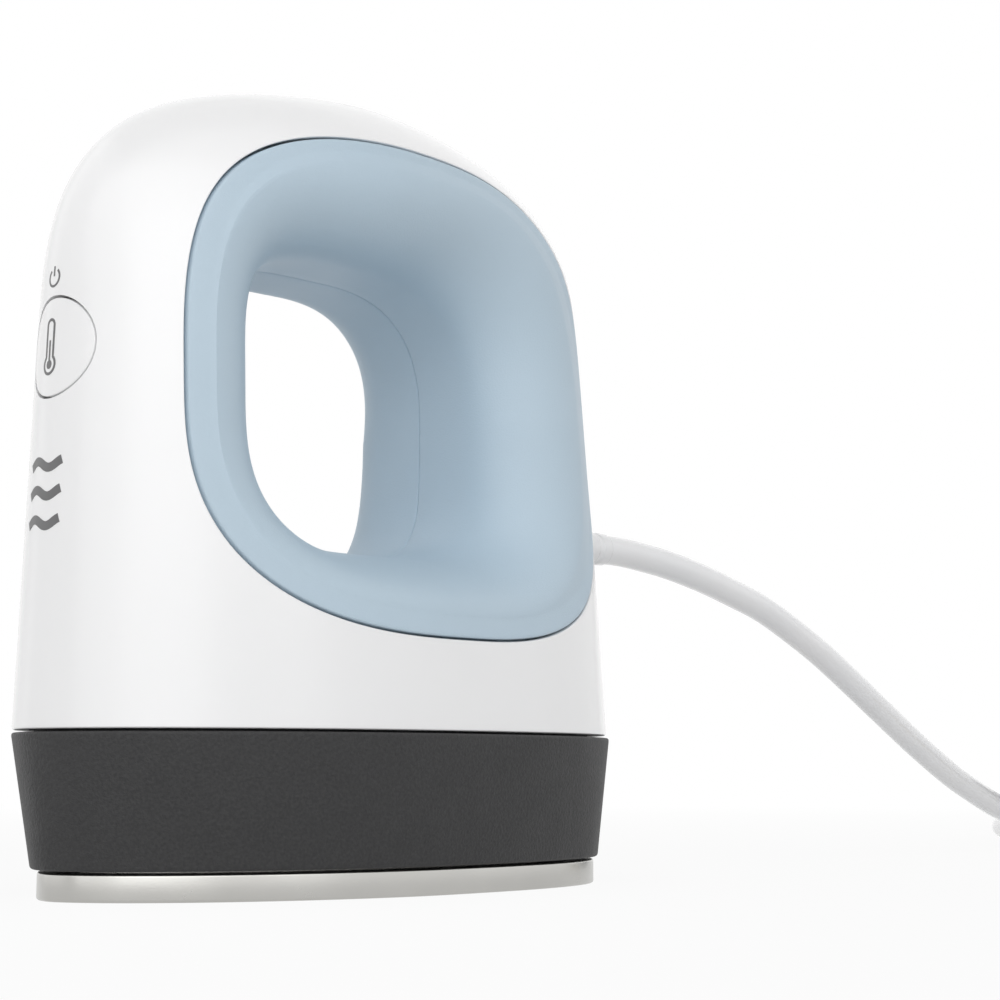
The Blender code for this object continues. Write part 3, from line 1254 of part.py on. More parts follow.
def relief_tail_groove(front):
    """The half-round groove that the strain relief's tail lies in, through the post or the clamp."""
    start = (0, front - OVERRUN, CORD_LEVEL)
    return peg(start, REARWARD, RELIEF_TAIL_RADIUS + GAP, CORD_BRACKET_DEPTH + 2 * OVERRUN)


def cord_bracket(materials):
    """The post that carries the strain relief's tail, screwed to the chassis by its foot."""
    rear = cord_bracket_rear()
    front = rear - CORD_BRACKET_DEPTH
    base = CHASSIS_TOP + GAP
    foot_top = base + BRACKET_FOOT_THICKNESS
    step = SKIRT_TOP + UPSTAND_HEIGHT + CORD_POST_SETBACK
    outline = [(rear - CORD_POST_SETBACK, base), (rear - CORD_POST_SETBACK, step),
               (rear, step + CORD_POST_SETBACK),
               (rear, CORD_LEVEL - GAP / 2), (front, CORD_LEVEL - GAP / 2), (front, foot_top),
               (front - CORD_BRACKET_FOOT_DEPTH, foot_top), (front - CORD_BRACKET_FOOT_DEPTH, base)]
    half = CORD_BRACKET_HALF_WIDTH
    loops = [[Vector((x, y, z)) for y, z in outline] for x in (-half, half)]
    post = add_object("cord_bracket", loft("cord_bracket", loops), materials["chassis_nylon"], smooth=False)
    cutters = [relief_tail_groove(front)]
    cutters += [peg((x, (front + rear) / 2, CORD_LEVEL + OVERRUN), DOWN, SMALL_SHANK_RADIUS + HOLE_CLEARANCE,
                    CLAMP_SCREW_BITE + OVERRUN) for x in (CLAMP_SCREW_SPREAD, -CLAMP_SCREW_SPREAD)]
    cutters += [screw_hole((x, y, base + OVERRUN), DOWN, 2 * OVERRUN, True)
                for x, y in cord_foot_screw_places()]
    rib = half - CORD_POST_WALL
    cutters.append(box("opening", (-rib, front - OVERRUN, step + 2 * CORD_POST_WALL),
                       (rib, rear + OVERRUN, CORD_LEVEL - RELIEF_TAIL_RADIUS - CORD_POST_WALL)))
    return cut(post, cutters)


def cord_clamp(materials):
    """The saddle that presses the strain relief's tail onto the post."""
    rear = cord_bracket_rear()
    front = rear - CORD_BRACKET_DEPTH
    low = CORD_LEVEL + GAP / 2
    saddle = box("cord_clamp", (-CORD_BRACKET_HALF_WIDTH, front, low),
                 (CORD_BRACKET_HALF_WIDTH, rear, low + CLAMP_THICKNESS))
    clamp = add_object("cord_clamp", saddle, materials["chassis_nylon"], smooth=False)
    cutters = [relief_tail_groove(front)]
    cutters += [peg((x, (front + rear) / 2, low - OVERRUN), UP, SMALL_SHANK_RADIUS + HOLE_CLEARANCE,
                    CLAMP_THICKNESS + 2 * OVERRUN) for x in (CLAMP_SCREW_SPREAD, -CLAMP_SCREW_SPREAD)]
    return cut(clamp, cutters)


def power_cord(materials):
    """The free stretch of the cord, from the strain relief to the coil."""
    route = [Vector(point) * MM for point in CORD_ROUTE]
    route[0].y = rear_wall_outside() + GAP + RELIEF_LENGTH + GAP
    path = smooth_path(route, CORD_POINT_SPACING)
    return tube("power_cord", path, CORD_DIAMETER / 2, CORD_ROUNDING, materials["cord_white"])


def coil_start():
    """Where the free stretch ends and the coil begins."""
    return Vector(CORD_ROUTE[-1]) * MM + Vector((0, GAP, 0))


def coil_middle():
    return coil_start() + Vector((COIL_MEAN_RADIUS + COIL_SPACING, CORD_DIAMETER, 0))


def smooth_step(share):
    share = min(max(share, 0), 1)
    return share * share * (3 - 2 * share)


def coil_radius_and_rise(turn):
    """How far from its middle and how high above its first loop the coil runs after some turns."""
    outer, inner = COIL_MEAN_RADIUS + COIL_SPACING, COIL_MEAN_RADIUS - COIL_SPACING
    layer = min(int(turn / COIL_TURNS_A_LAYER), COIL_LAYERS - 1)
    within = turn - layer * COIL_TURNS_A_LAYER
    share = min(within / COIL_WOUND_TURNS, 1)
    radius = blend(outer, inner, share) if layer % 2 == 0 else blend(inner, outer, share)
    climb = smooth_step((within - COIL_WOUND_TURNS) / (COIL_TURNS_A_LAYER - COIL_WOUND_TURNS))
    level = (layer + climb) * COIL_LAYER_RISE
    leaves_at = COIL_WOUND_TURNS - 1 / 2
    if layer == COIL_LAYERS - 1 and within > leaves_at:
        left_at = blend(inner, outer, leaves_at / COIL_WOUND_TURNS)
        radius = blend(left_at, outer + COIL_END_SPACING, smooth_step(4 * (within - leaves_at)))
        level = layer * COIL_LAYER_RISE
        level -= (level - plug_rise()) * smooth_step(4 * (within - leaves_at) - 1)
    return radius, level


def coil_path():
    """Four layers, wound in and out again, then down outside them to a straight end on the table."""
    path = [coil_start()]
    turns = COIL_TURNS_A_LAYER * (COIL_LAYERS - 1) + COIL_WOUND_TURNS
    for step in range(round(turns * COIL_POINTS_A_TURN) + 1):
        turn = step / COIL_POINTS_A_TURN
        radius, level = coil_radius_and_rise(turn)
        angle = math.pi - math.tau * turn
        path.append(coil_middle() + Vector((radius * math.cos(angle), radius * math.sin(angle), level)))
    for _ in range(COIL_END_DIAMETERS):
        path.append(path[-1] - Vector((0, CORD_DIAMETER, 0)))
    return path


def plug_rise():
    """How far the cord's end at the plug lies above the coil's lowest loops."""
    return PLUG_HEIGHT / 2 - coil_start().z + GAP


def least_gap(path):
    """The coil's least clearance to itself, between stretches that aren't next to each other."""
    least = math.inf
    apart = COIL_POINTS_A_TURN // 3
    for index, point in enumerate(path):
        for other_index in range(index + apart, len(path) - 1):
            one, other = path[other_index], path[other_index + 1]
            along = other - one
            share = min(max((point - one).dot(along) / along.length_squared, 0), 1)
            least = min(least, (point - one - along * share).length)
    return least - CORD_DIAMETER


def path_length(path):
    return sum((other - one).length for one, other in zip(path, path[1:]))


def cord_coil(materials):
    path = coil_path()
    print("coil: least gap to itself %.2f mm, length %.0f mm"
          % (least_gap(path) / MM, path_length(path) / MM))
    return tube("cord_coil", path, CORD_DIAMETER / 2, WIRE_ROUNDING, materials["cord_white"])


def rounded_outline(middle, half_width, half_height, corner):
    """Points of an upright rectangle with rounded corners, anticlockwise."""
    outline = []
    for quarter, (across, up) in enumerate(((1, -1), (1, 1), (-1, 1), (-1, -1))):
        for step in range(CORNER_STEPS + 1):
            angle = math.pi / 2 * (quarter - 1 + step / CORNER_STEPS)
            outline.append((middle[0] + across * (half_width - corner) + corner * math.cos(angle),
                            middle[1] + up * (half_height - corner) + corner * math.sin(angle)))
    return outline


def coil_tie(materials):
    """A strap round the bundle of turns."""
    start, middle = coil_start(), coil_middle()
    reach = COIL_SPACING + CORD_DIAMETER / 2 + GAP
    half_rise = (COIL_LAYERS - 1) * COIL_LAYER_RISE / 2
    half_height = half_rise + CORD_DIAMETER / 2 + GAP
    loops = []
    for outset, shift in ((0, -TIE_WIDTH / 2), (TIE_THICKNESS, -TIE_WIDTH / 2),
                          (TIE_THICKNESS, TIE_WIDTH / 2), (0, TIE_WIDTH / 2)):
        band = rounded_outline((COIL_MEAN_RADIUS, start.z + half_rise), reach + outset, half_height + outset,
                               TIE_CORNER / 2 + outset)
        loops.append([Vector((middle.x + shift, middle.y - radius, level)) for radius, level in band])
    return add_object("coil_tie", hoop("coil_tie", loops), materials["tie_black"])


def plug_pieces(materials):
    """A flat two-blade plug, lying beside the coil at the cord's end."""
    end = coil_path()[-1] - Vector((0, GAP, 0))
    neck = CORD_DIAMETER * PLUG_NECK_SHARE
    tip = PLUG_CORNER / 2
    sections = [(0, neck, neck), (PLUG_NECK_LENGTH / 2, neck + tip / 2, neck + tip / 2)]
    sections += [(PLUG_NECK_LENGTH * along, PLUG_WIDTH * wide, PLUG_HEIGHT * high)
                 for along, wide, high in PLUG_SHOULDER_SHARES]
    sections += [(PLUG_LENGTH - tip, PLUG_WIDTH, PLUG_HEIGHT),
                 (PLUG_LENGTH, PLUG_WIDTH - PLUG_CORNER, PLUG_HEIGHT - PLUG_CORNER)]
    loops = [[Vector((x, end.y - distance, z)) for x, z in
              rounded_outline((end.x, end.z), width / 2, height / 2, min(PLUG_CORNER, height / 3))]
             for distance, width, height in sections]
    add_object("plug_body", loft("plug_body", loops), materials["cord_white"])
    near = end.y - PLUG_LENGTH - GAP
    for name, side in (("plug_blade_1", 1), ("plug_blade_2", -1)):
        x = end.x + side * BLADE_SPREAD
        loops = []
        for distance, inward in ((0, 0), (BLADE_LENGTH - BLADE_TIP, 0), (BLADE_LENGTH, BLADE_TIP)):
            wide, thick = BLADE_WIDTH / 2 - inward, (BLADE_THICKNESS - inward) / 2
            loops.append([Vector((x + thick * across, near - distance, end.z + wide * up))
                          for across, up in ((1, -1), (1, 1), (-1, 1), (-1, -1))])
        add_object(name, loft(name, loops), materials["brass"], smooth=False)


# Fasteners

def all_screws(materials):
    for index, (x, y) in enumerate(plate_screw_places(), 1):
        screw("plate_screw_%d" % index, (x, y, CHASSIS_TOP), DOWN,
              CHASSIS_TOP - BLOCK_TOP + PLATE_SCREW_BITE, materials)
    for index, (x, y) in enumerate(chassis_screw_places(), 1):
        screw("chassis_screw_%d" % index, (x, y, CHASSIS_TOP), DOWN,
              CHASSIS_TOP - SHELF_TOP + CHASSIS_SCREW_BITE, materials, True)
    for index, (x, y) in enumerate(board_screw_places(), 1):
        screw("board_screw_%d" % index, (x, y, BOARD_TOP), DOWN,
              BOARD_THICKNESS + BOARD_SCREW_BITE, materials, True)
    for index, level in enumerate(CONTROL_SCREW_LEVELS, 1):
        screw("control_screw_%d" % index, (0, button_board_front(), level), REARWARD,
              BUTTON_BOARD_THICKNESS + BRACKET_THICKNESS + CONTROL_SCREW_BITE, materials, True)
    foot = CHASSIS_TOP + GAP + BRACKET_FOOT_THICKNESS
    for name, places in (("bracket_screw", foot_screw_places()), ("post_screw", cord_foot_screw_places())):
        for index, (x, y) in enumerate(places, 1):
            screw("%s_%d" % (name, index), (x, y, foot), DOWN,
                  BRACKET_FOOT_THICKNESS + CHASSIS_THICKNESS, materials, True)
    clamp_top = CORD_LEVEL + GAP / 2 + CLAMP_THICKNESS
    y = cord_bracket_rear() - CORD_BRACKET_DEPTH / 2
    for index, x in enumerate((CLAMP_SCREW_SPREAD, -CLAMP_SCREW_SPREAD), 1):
        screw("clamp_screw_%d" % index, (x, y, clamp_top), DOWN,
              CLAMP_THICKNESS + CLAMP_SCREW_BITE, materials, True)
    screw("sensor_screw", (0, SENSOR_PLACE, BLOCK_TOP + GAP + SENSOR_THICKNESS), DOWN,
          SENSOR_THICKNESS + SENSOR_SCREW_BITE, materials, True)
    screw("fuse_screw", (0, fuse_foot_place(), BLOCK_TOP + GAP + FUSE_CLIP_THICKNESS), DOWN,
          FUSE_CLIP_THICKNESS + SENSOR_SCREW_BITE, materials, True)


def all_materials():
    return {
        "white_gloss": make_material("white_gloss", (0.86, 0.86, 0.87), 0.18),
        "liner_blue": make_material("liner_blue", (0.45, 0.58, 0.69), 0.55),
        "skirt_plastic": make_material("skirt_plastic", (0.055, 0.055, 0.058), 0.6),
        "plate_metal": make_material("plate_metal", (0.62, 0.61, 0.59), 0.3, 1.0),
        "element_steel": make_material("element_steel", (0.42, 0.41, 0.4), 0.35, 1.0),
        "mica": make_material("mica", (0.72, 0.68, 0.58), 0.9),
        "chassis_nylon": make_material("chassis_nylon", (0.12, 0.12, 0.13), 0.6),
        "brass": make_material("brass", (0.75, 0.6, 0.3), 0.3, 1.0),
        "bright_metal": make_material("bright_metal", (0.7, 0.7, 0.72), 0.35, 1.0),
        "board_green": make_material("board_green", (0.04, 0.22, 0.1), 0.5),
        "can_sleeve": make_material("can_sleeve", (0.05, 0.06, 0.12), 0.4),
        "film_yellow": make_material("film_yellow", (0.75, 0.6, 0.12), 0.45),
        "black_plastic": make_material("black_plastic", (0.03, 0.03, 0.03), 0.5),
        "terminal_grey": make_material("terminal_grey", (0.4, 0.42, 0.43), 0.55),
        "plunger_red": make_material("plunger_red", (0.5, 0.07, 0.06), 0.45),
        "lamp_white": make_material("lamp_white", (0.8, 0.8, 0.74), 0.3),
        "clear_plastic": make_material("clear_plastic", (0.85, 0.87, 0.88), 0.15),
        "lead_brown": make_material("lead_brown", (0.24, 0.12, 0.06), 0.5),
        "lead_blue": make_material("lead_blue", (0.1, 0.25, 0.55), 0.5),
        "lead_white": make_material("lead_white", (0.75, 0.75, 0.75), 0.5),
        "cord_white": make_material("cord_white", (0.82, 0.82, 0.83), 0.35),
        "tie_black": make_material("tie_black", (0.05, 0.05, 0.05), 0.6),
        "screw_steel": make_material("screw_steel", (0.55, 0.55, 0.56), 0.35, 1.0),
    }


def build():
    clear_scene()
    materials = all_materials()
    heat_plate(materials)
    heating_element(materials)
    insulation_pad(materials)
    base_skirt(materials)
    chassis(materials)
    temperature_sensor(materials)
    thermal_fuse(materials)
    fuse_clip(materials)
    main_board(materials)
    standing_box("film_capacitor", FILM_CAPACITOR_SIZE, FILM_CAPACITOR_PLACE, materials["film_yellow"])
    standing_box("cable_connector", CONNECTOR_SIZE, (0, CONNECTOR_PLACE), materials["lead_white"])
    supply_capacitor(materials)
    triac(materials)
    heat_sink(materials)
    terminal_block(materials)
    main_leads(materials)
    control_cable(materials)
    control_bracket(materials)
    button_board(materials)
    switch_body(materials)
    switch_plunger(materials)
    status_lamps(materials)
    light_guide(materials)
    button_cap(materials)
    housing_shell(materials)
    grip_liners(materials)
    strain_relief(materials)
    cord_bracket(materials)
    cord_clamp(materials)
    power_cord(materials)
    cord_coil(materials)
    coil_tie(materials)
    plug_pieces(materials)
    all_screws(materials)


build()
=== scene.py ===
"""Mini heat press: the smooth outer surfaces, finishes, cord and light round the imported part.

Metres, +Z up. The front, with the button, faces -Y, and the cord leaves the rear at +Y.
"""
import math
from collections import namedtuple

import bmesh
import bpy
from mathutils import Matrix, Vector


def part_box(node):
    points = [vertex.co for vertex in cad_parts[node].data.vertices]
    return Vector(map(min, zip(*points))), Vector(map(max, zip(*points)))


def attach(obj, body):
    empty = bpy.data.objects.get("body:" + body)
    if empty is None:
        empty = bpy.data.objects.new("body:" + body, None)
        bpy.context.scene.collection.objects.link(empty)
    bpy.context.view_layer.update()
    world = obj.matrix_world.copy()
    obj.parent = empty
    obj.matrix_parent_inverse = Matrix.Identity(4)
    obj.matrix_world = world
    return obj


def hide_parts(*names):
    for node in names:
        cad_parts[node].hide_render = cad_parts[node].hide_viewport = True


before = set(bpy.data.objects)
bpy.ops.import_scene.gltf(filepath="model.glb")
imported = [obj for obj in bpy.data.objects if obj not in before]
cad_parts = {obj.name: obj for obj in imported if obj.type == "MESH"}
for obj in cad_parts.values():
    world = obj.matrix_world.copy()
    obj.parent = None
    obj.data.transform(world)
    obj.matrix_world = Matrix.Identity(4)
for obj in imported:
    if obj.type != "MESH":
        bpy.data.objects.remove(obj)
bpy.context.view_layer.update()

MM = 0.001
REARWARD = Vector((0, 1, 0))

# Camera: where it stands round the body, and how it is turned from the body's middle
VIEW_AZIMUTH = math.radians(49)
VIEW_DISTANCE = 277.78 * MM
VIEW_SETBACK = 0.65 * MM
VIEW_LEVEL = 14.99 * MM
VIEW_YAW = -0.089
VIEW_PITCH = 0.132
LENS_LENGTH = 74.21
SENSOR_WIDTH = 36.0
CLIP_START = 5 * MM

# Outline of the plate, seen from above
PLATE_LENGTH = 83.9 * MM
PLATE_WIDTH = 48.5 * MM
WIDEST_PLACE = 0.65 * MM
PLATE_FRONT_POWER = 1.69
PLATE_REAR_POWER = 2.88
BODY_FRONT_POWER = 1.86
BODY_REAR_POWER = 2.57
CROWN_OUTLINE_POWER = 1.8

# Heat plate
PLATE_EDGE = 3.3 * MM
SOLE_ROUND = 0.35 * MM
PLATE_RIM_ROUND = 0.35 * MM
BLOCK_TOP = 8.0 * MM
BLOCK_INSET = 5.0 * MM
BLOCK_CHAMFER = 0.6 * MM

# Skirt
SKIRT_BOTTOM = 3.6 * MM
SKIRT_TOP = 19.95 * MM
SKIRT_FOOT_OVERHANG = 0.75 * MM
SKIRT_TOP_OVERHANG = 3.1 * MM
SKIRT_EDGE_ROUND = 0.45 * MM
SKIRT_WALL = 2.4 * MM
SKIRT_LIP_WIDTH = 2.1 * MM
SKIRT_LIP_THICKNESS = 1.6 * MM
SHELF_TOP = 12.0 * MM
SHELF_THICKNESS = 4.0 * MM
SHELF_WIDTH = 3.2 * MM
UPSTAND_HEIGHT = 2.8 * MM
UPSTAND_WALL = 1.5 * MM

# Housing shell
GAP = 0.3 * MM
SHELL_JOINT = 0.3 * MM
SHELL_LEDGE = 0.4 * MM
SHELL_WALL = 2.2 * MM
SHELL_EDGE_ROUND = 0.35 * MM
HOLE_REACH = 5 * MM
BODY_HEIGHT = 104.5 * MM
CROWN_PLACE = -2.7 * MM
FRONT_DRAFT = 0.033
REAR_DRAFT = 0.004
SIDE_DRAFT = 0.044
FRONT_SHOULDER = 71.9 * MM
REAR_SHOULDER = 81.7 * MM
SIDE_SHOULDER = 50.5 * MM
FRONT_CROWN_POWER = 2.73
REAR_CROWN_POWER = 2.48
SIDE_CROWN_POWER = 3.6

# Grip opening: the window in the shell, the throat at the middle, and the flare between them
WINDOW_PLACE = 2.5 * MM
WINDOW_LEVEL = 62.0 * MM
WINDOW_FRONT_REACH = 36.75 * MM
WINDOW_REAR_REACH = 37.3 * MM
WINDOW_TOP_REACH = 34.4 * MM
WINDOW_BOTTOM_REACH = 30.3 * MM
WINDOW_POWERS = {"rear_top": 2.85, "front_top": 3.3, "front_bottom": 2.85, "rear_bottom": 2.6}
THROAT_PLACE = -1.0 * MM
THROAT_LEVEL = 63.4 * MM
THROAT_FRONT_REACH = 20.2 * MM
THROAT_REAR_REACH = 19.3 * MM
THROAT_TOP_REACH = 18.25 * MM
THROAT_BOTTOM_REACH = 19.3 * MM
THROAT_POWERS = {"rear_top": 2.66, "front_top": 4.4, "front_bottom": 3.75, "rear_bottom": 4.6}
LIP_WIDTHS = {"rear": 2.0 * MM, "top": 1.4 * MM, "front": 2.6 * MM, "bottom": 2.7 * MM}
LIP_SINK = 0.4 * MM
LINER_EDGE_ROUND = 0.2 * MM
LINER_WALL = 1.8 * MM
LINER_FLANGE_WIDTH = 1.2 * MM
LINER_FLANGE_THICKNESS = 1.2 * MM
LINER_SEAT_CLEARANCE = 0.6 * MM
SEAM_GAP = 0.06 * MM
ROLL_WIDTHS = {"rear": 4.5 * MM, "top": 1.6 * MM, "front": 0.4 * MM, "bottom": 0.1 * MM}
ROLL_SLOPES = {"rear": 0.38, "top": 0.2, "front": 0.0, "bottom": -0.05}
SHOULDER_SHARES = {"rear": 0.5, "top": 0.5, "front": 0.62, "bottom": 0.48}
ROUNDNESS_SHARES = {"rear": 0.7, "top": 0.62, "front": 0.62, "bottom": 0.48}
STRAIGHT_SHARES = {"rear": 0.47, "top": 0.43, "front": 0.21, "bottom": 0.08}

# Button
BUTTON_LEVEL = 66.4 * MM
BUTTON_RADIUS = 6.1 * MM
BUTTON_EDGE_ROUND = 0.25 * MM
BUTTON_FLANGE_WIDTH = 1.0 * MM
BUTTON_FLANGE_THICKNESS = 0.8 * MM
BUTTON_STEM_RADIUS = 2.2 * MM
BUTTON_STEM_LENGTH = 0.9 * MM

# Marks on the front: how far they stand out, and how deep their inlay goes
MARK_PROUD = 0.03 * MM
MARK_DEPTH = 0.12 * MM
MARK_SHIFT = -0.45 * MM
WAVE_LEVELS = (44.85 * MM, 48.45 * MM, 51.95 * MM)
WAVE_REACHES = (-3.1 * MM, 3.3 * MM)
WAVE_CREST = -1.35 * MM
WAVE_HALF_LENGTH = 2.55 * MM
WAVE_RISE = 0.46 * MM
WAVE_THICKNESS = 1.12 * MM
POWER_LEVEL = 75.15 * MM
POWER_RADIUS = 1.1 * MM
POWER_LINE = 0.3 * MM
POWER_OPEN_ANGLE = math.radians(38)
POWER_BAR_SHARES = (0.15, 0.5, 0.9, 1.3)
THERMOMETER_BOTTOM = 63.1 * MM
THERMOMETER_TOP = 69.85 * MM
THERMOMETER_STEM_RADIUS = 0.74 * MM
THERMOMETER_BULB_RADIUS = 1.16 * MM
THERMOMETER_LINE = 0.36 * MM
MERCURY_WIDTH = 0.34 * MM
MERCURY_SHARE = 0.62
MERCURY_BALL_SHARE = 0.48

# Cord entry and cord
CORD_DIAMETER = 4.5 * MM
CORD_LEVEL = 49.5 * MM
RELIEF_LENGTH = 13.0 * MM
RELIEF_ROOT_RADIUS = 3.9 * MM
RELIEF_TIP_RADIUS = 2.45 * MM
RELIEF_EDGE_ROUND = 0.3 * MM
RELIEF_RIBS = 4
RELIEF_GROOVE = 0.2 * MM
RELIEF_NECK_RADIUS = 3.5 * MM
RELIEF_COLLAR_RADIUS = 5.0 * MM
RELIEF_COLLAR_THICKNESS = 1.5 * MM
RELIEF_COLLAR_CLEARANCE = 0.8 * MM
RELIEF_TAIL_RADIUS = 3.2 * MM
RELIEF_STEPS = 120
RIB_FLAT_SHARE = 0.1
RIB_SLOPE_SHARE = 0.15

# The free stretch of the cord, in millimetres
CORD_ROUTE = [
    (0.0, 58.0, 49.5), (0.0, 61.0, 49.5), (0.0, 64.5, 49.3), (0.0, 68.5, 48.9), (0.0, 73.0, 48.4),
    (0.0, 78.5, 47.5), (0.0, 84.5, 46.3), (0.0, 91.5, 44.6), (0.0, 99.0, 42.6), (0.0, 106.5, 39.7),
    (0.0, 115.0, 36.0), (0.0, 123.5, 31.7), (0.0, 134.5, 25.9), (0.0, 146.0, 19.9), (0.0, 158.0, 14.3),
    (0.0, 171.0, 9.5), (-0.3, 178.0, 7.6), (-2.2, 184.0, 6.2), (-5.6, 190.0, 5.2), (-10.0, 196.0, 4.5),
    (-14.4, 201.5, 4.1), (-17.8, 206.0, 3.9), (-22.1, 213.0, 3.9), (-24.3, 219.0, 3.9),
    (-24.8, 223.5, 3.9), (-24.8, 227.0, 3.9),
]

# Coil, tie and plug
CORD_POINT_SPACING = 2.5 * MM
COIL_SPACING = 5.8 * MM
COIL_LAYER_RISE = 5.2 * MM
COIL_LAYERS = 4
COIL_MEAN_RADIUS = 27.0 * MM
COIL_TURNS_A_LAYER = 2.5
COIL_WOUND_TURNS = 2
COIL_POINTS_A_TURN = 72
COIL_END_SPACING = 5.0 * MM
COIL_END_DIAMETERS = 3
COIL_END_HASTE = 4
TIE_THICKNESS = 1.0 * MM
TIE_WIDTH = 9.0 * MM
TIE_CORNER = 3.0 * MM
PLUG_LENGTH = 27.0 * MM
PLUG_WIDTH = 18.0 * MM
PLUG_HEIGHT = 13.0 * MM
PLUG_NECK_LENGTH = 12.0 * MM
PLUG_CORNER = 2.0 * MM
PLUG_GRIP_DEPTH = 0.5 * MM
PLUG_GRIP_RIBS = 4
PLUG_GRIP_START = 0.5
PLUG_GRIP_SHARE = 0.4
PLUG_NECK_DIAMETERS = 1.4
PLUG_SHOULDER_START = 0.35
PLUG_SHOULDER_SPREAD = 0.75

# Fineness of the smooth surfaces
AROUND = 288
PATCH_STEPS = 64
FINER_STEPS = 8
FINER_OUTLINE = 20
HALVINGS = 50
FLARE_STEPS = 40
LIP_STEPS = 5
ROLL_STEPS = 8
THROAT_STEPS = 4
BACK_STRIDE = 5
EDGE_STEPS = 4
ROUND_SIDES = 72
BEND_STEPS = 12
CORD_ROUNDING = 6
PLUG_STEPS = 40
PROBE = 0.02 * MM
FINE_PROBE = 0.01 * MM
TOUCHING = 1e-7
LONGEST_RAY = 4.0
MARK_STEPS = 36
SIGN_STEPS = 40
FACE_RINGS = 20

# Edges that turn by more than an angle, in degrees, are drawn sharp
SHARP_ANGLE = 30
OTHER_SHARP_ANGLES = {"housing": 35, "skirt": 35, "plate": 40, "button": 40, "plug": 45, "relief": 50,
                      "cord_tie": 60}

# Floor and light
FLOOR_HALF_WIDTH = 6.0
FLOOR_TONE = 0.86
FLOOR_ROUGHNESS = 0.9
SHADOW_SHARE = 0.08
SHADOW_NEAR = 0.15
SHADOW_FAR = 0.7
AMBIENT = 0.24
LAMP_DISTANCE = 1.2
LAMP_SIZE = 1.6

# Each lamp's azimuth and elevation in degrees, and its power in watts
LAMPS = {
    "key_lamp": (30, 25, 6.4),
    "high_lamp": (60, 45, 3.6),
    "low_lamp": (60, 4, 4.0),
    "side_lamp": (118, 12, 2.2),
    "front_lamp": (-45, 25, 2.7),
    "left_lamp": (-95, 20, 0.6),
    "rear_lamp": (180, 30, 1.4),
}

Egg = namedtuple("Egg", "half_width front rear widest front_power rear_power")
Oval = namedtuple("Oval", "place level front rear top bottom powers")

PLATE = Egg(PLATE_WIDTH / 2, -PLATE_LENGTH / 2, PLATE_LENGTH / 2, WIDEST_PLACE,
            PLATE_FRONT_POWER, PLATE_REAR_POWER)
WINDOW = Oval(WINDOW_PLACE, WINDOW_LEVEL, WINDOW_FRONT_REACH, WINDOW_REAR_REACH,
              WINDOW_TOP_REACH, WINDOW_BOTTOM_REACH, WINDOW_POWERS)
THROAT = Oval(THROAT_PLACE, THROAT_LEVEL, THROAT_FRONT_REACH, THROAT_REAR_REACH,
              THROAT_TOP_REACH, THROAT_BOTTOM_REACH, THROAT_POWERS)
SHELL_BASE = SKIRT_TOP + SHELL_JOINT


# Outlines

def signed_power(value, power):
    return math.copysign(abs(value) ** power, value)


def blend(one, other, share):
    return one + (other - one) * share


def smooth_step(share):
    share = min(max(share, 0), 1)
    return share * share * (3 - 2 * share)


def grown(egg, by):
    """The same egg, wider by an amount all round."""
    return egg._replace(half_width=egg.half_width + by, front=egg.front - by, rear=egg.rear + by)


def egg_half(egg, to_front):
    """The power and the length of the egg's front or rear half."""
    if to_front:
        return egg.front_power, egg.widest - egg.front
    return egg.rear_power, egg.rear - egg.widest


def egg_loop(egg, level, count=AROUND):
    """Points of the egg at a level, anticlockwise from its right side."""
    loop = []
    for step in range(count):
        angle = math.tau * step / count
        power, reach = egg_half(egg, math.sin(angle) < 0)
        x = egg.half_width * signed_power(math.cos(angle), 2 / power)
        y = egg.widest + reach * signed_power(math.sin(angle), 2 / power)
        loop.append(Vector((x, y, level)))
    return loop


def egg_half_width(egg, y):
    """Half the egg's width at a place along it."""
    power, reach = egg_half(egg, y < egg.widest)
    share = min(abs(y - egg.widest) / reach, 1)
    return egg.half_width * (1 - share ** power) ** (1 / power)


def egg_front_at(egg, x):
    """Where the egg's front runs at a distance from its middle line."""
    share = min(abs(x) / egg.half_width, 1)
    reach = egg.widest - egg.front
    return egg.widest - reach * (1 - share ** egg.front_power) ** (1 / egg.front_power)


def egg_fullness(egg, x, y):
    """Less than one inside the egg, one on its outline."""
    power, reach = egg_half(egg, y < egg.widest)
    return (abs(x) / egg.half_width) ** power + (abs(y - egg.widest) / reach) ** power


def oval_point(oval, angle, outset):
    """A point (y, z) of an opening's outline, moved outward by an outset."""
    along, up = math.cos(angle), math.sin(angle)
    side = "rear" if along >= 0 else "front"
    half = "top" if up >= 0 else "bottom"
    power = 2 / oval.powers[side + "_" + half]
    y_reach = (oval.rear if along >= 0 else oval.front) + outset
    z_reach = (oval.top if up >= 0 else oval.bottom) + outset
    return oval.place + y_reach * signed_power(along, power), oval.level + z_reach * signed_power(up, power)


def skirt_egg(level):
    """The skirt's outer outline at a level."""
    share = (level - SKIRT_BOTTOM) / (SKIRT_TOP - SKIRT_BOTTOM)
    overhang = blend(SKIRT_FOOT_OVERHANG, SKIRT_TOP_OVERHANG, share)
    toward_body = overhang / SKIRT_TOP_OVERHANG
    return grown(PLATE, overhang)._replace(
        front_power=blend(PLATE_FRONT_POWER, BODY_FRONT_POWER, toward_body),
        rear_power=blend(PLATE_REAR_POWER, BODY_REAR_POWER, toward_body))


def crown(level, shoulder, top, power):
    """How much of its width an outline keeps above its shoulder."""
    share = min(max((level - shoulder) / (top - shoulder), 0), 1)
    return (1 - share ** power) ** (1 / power)


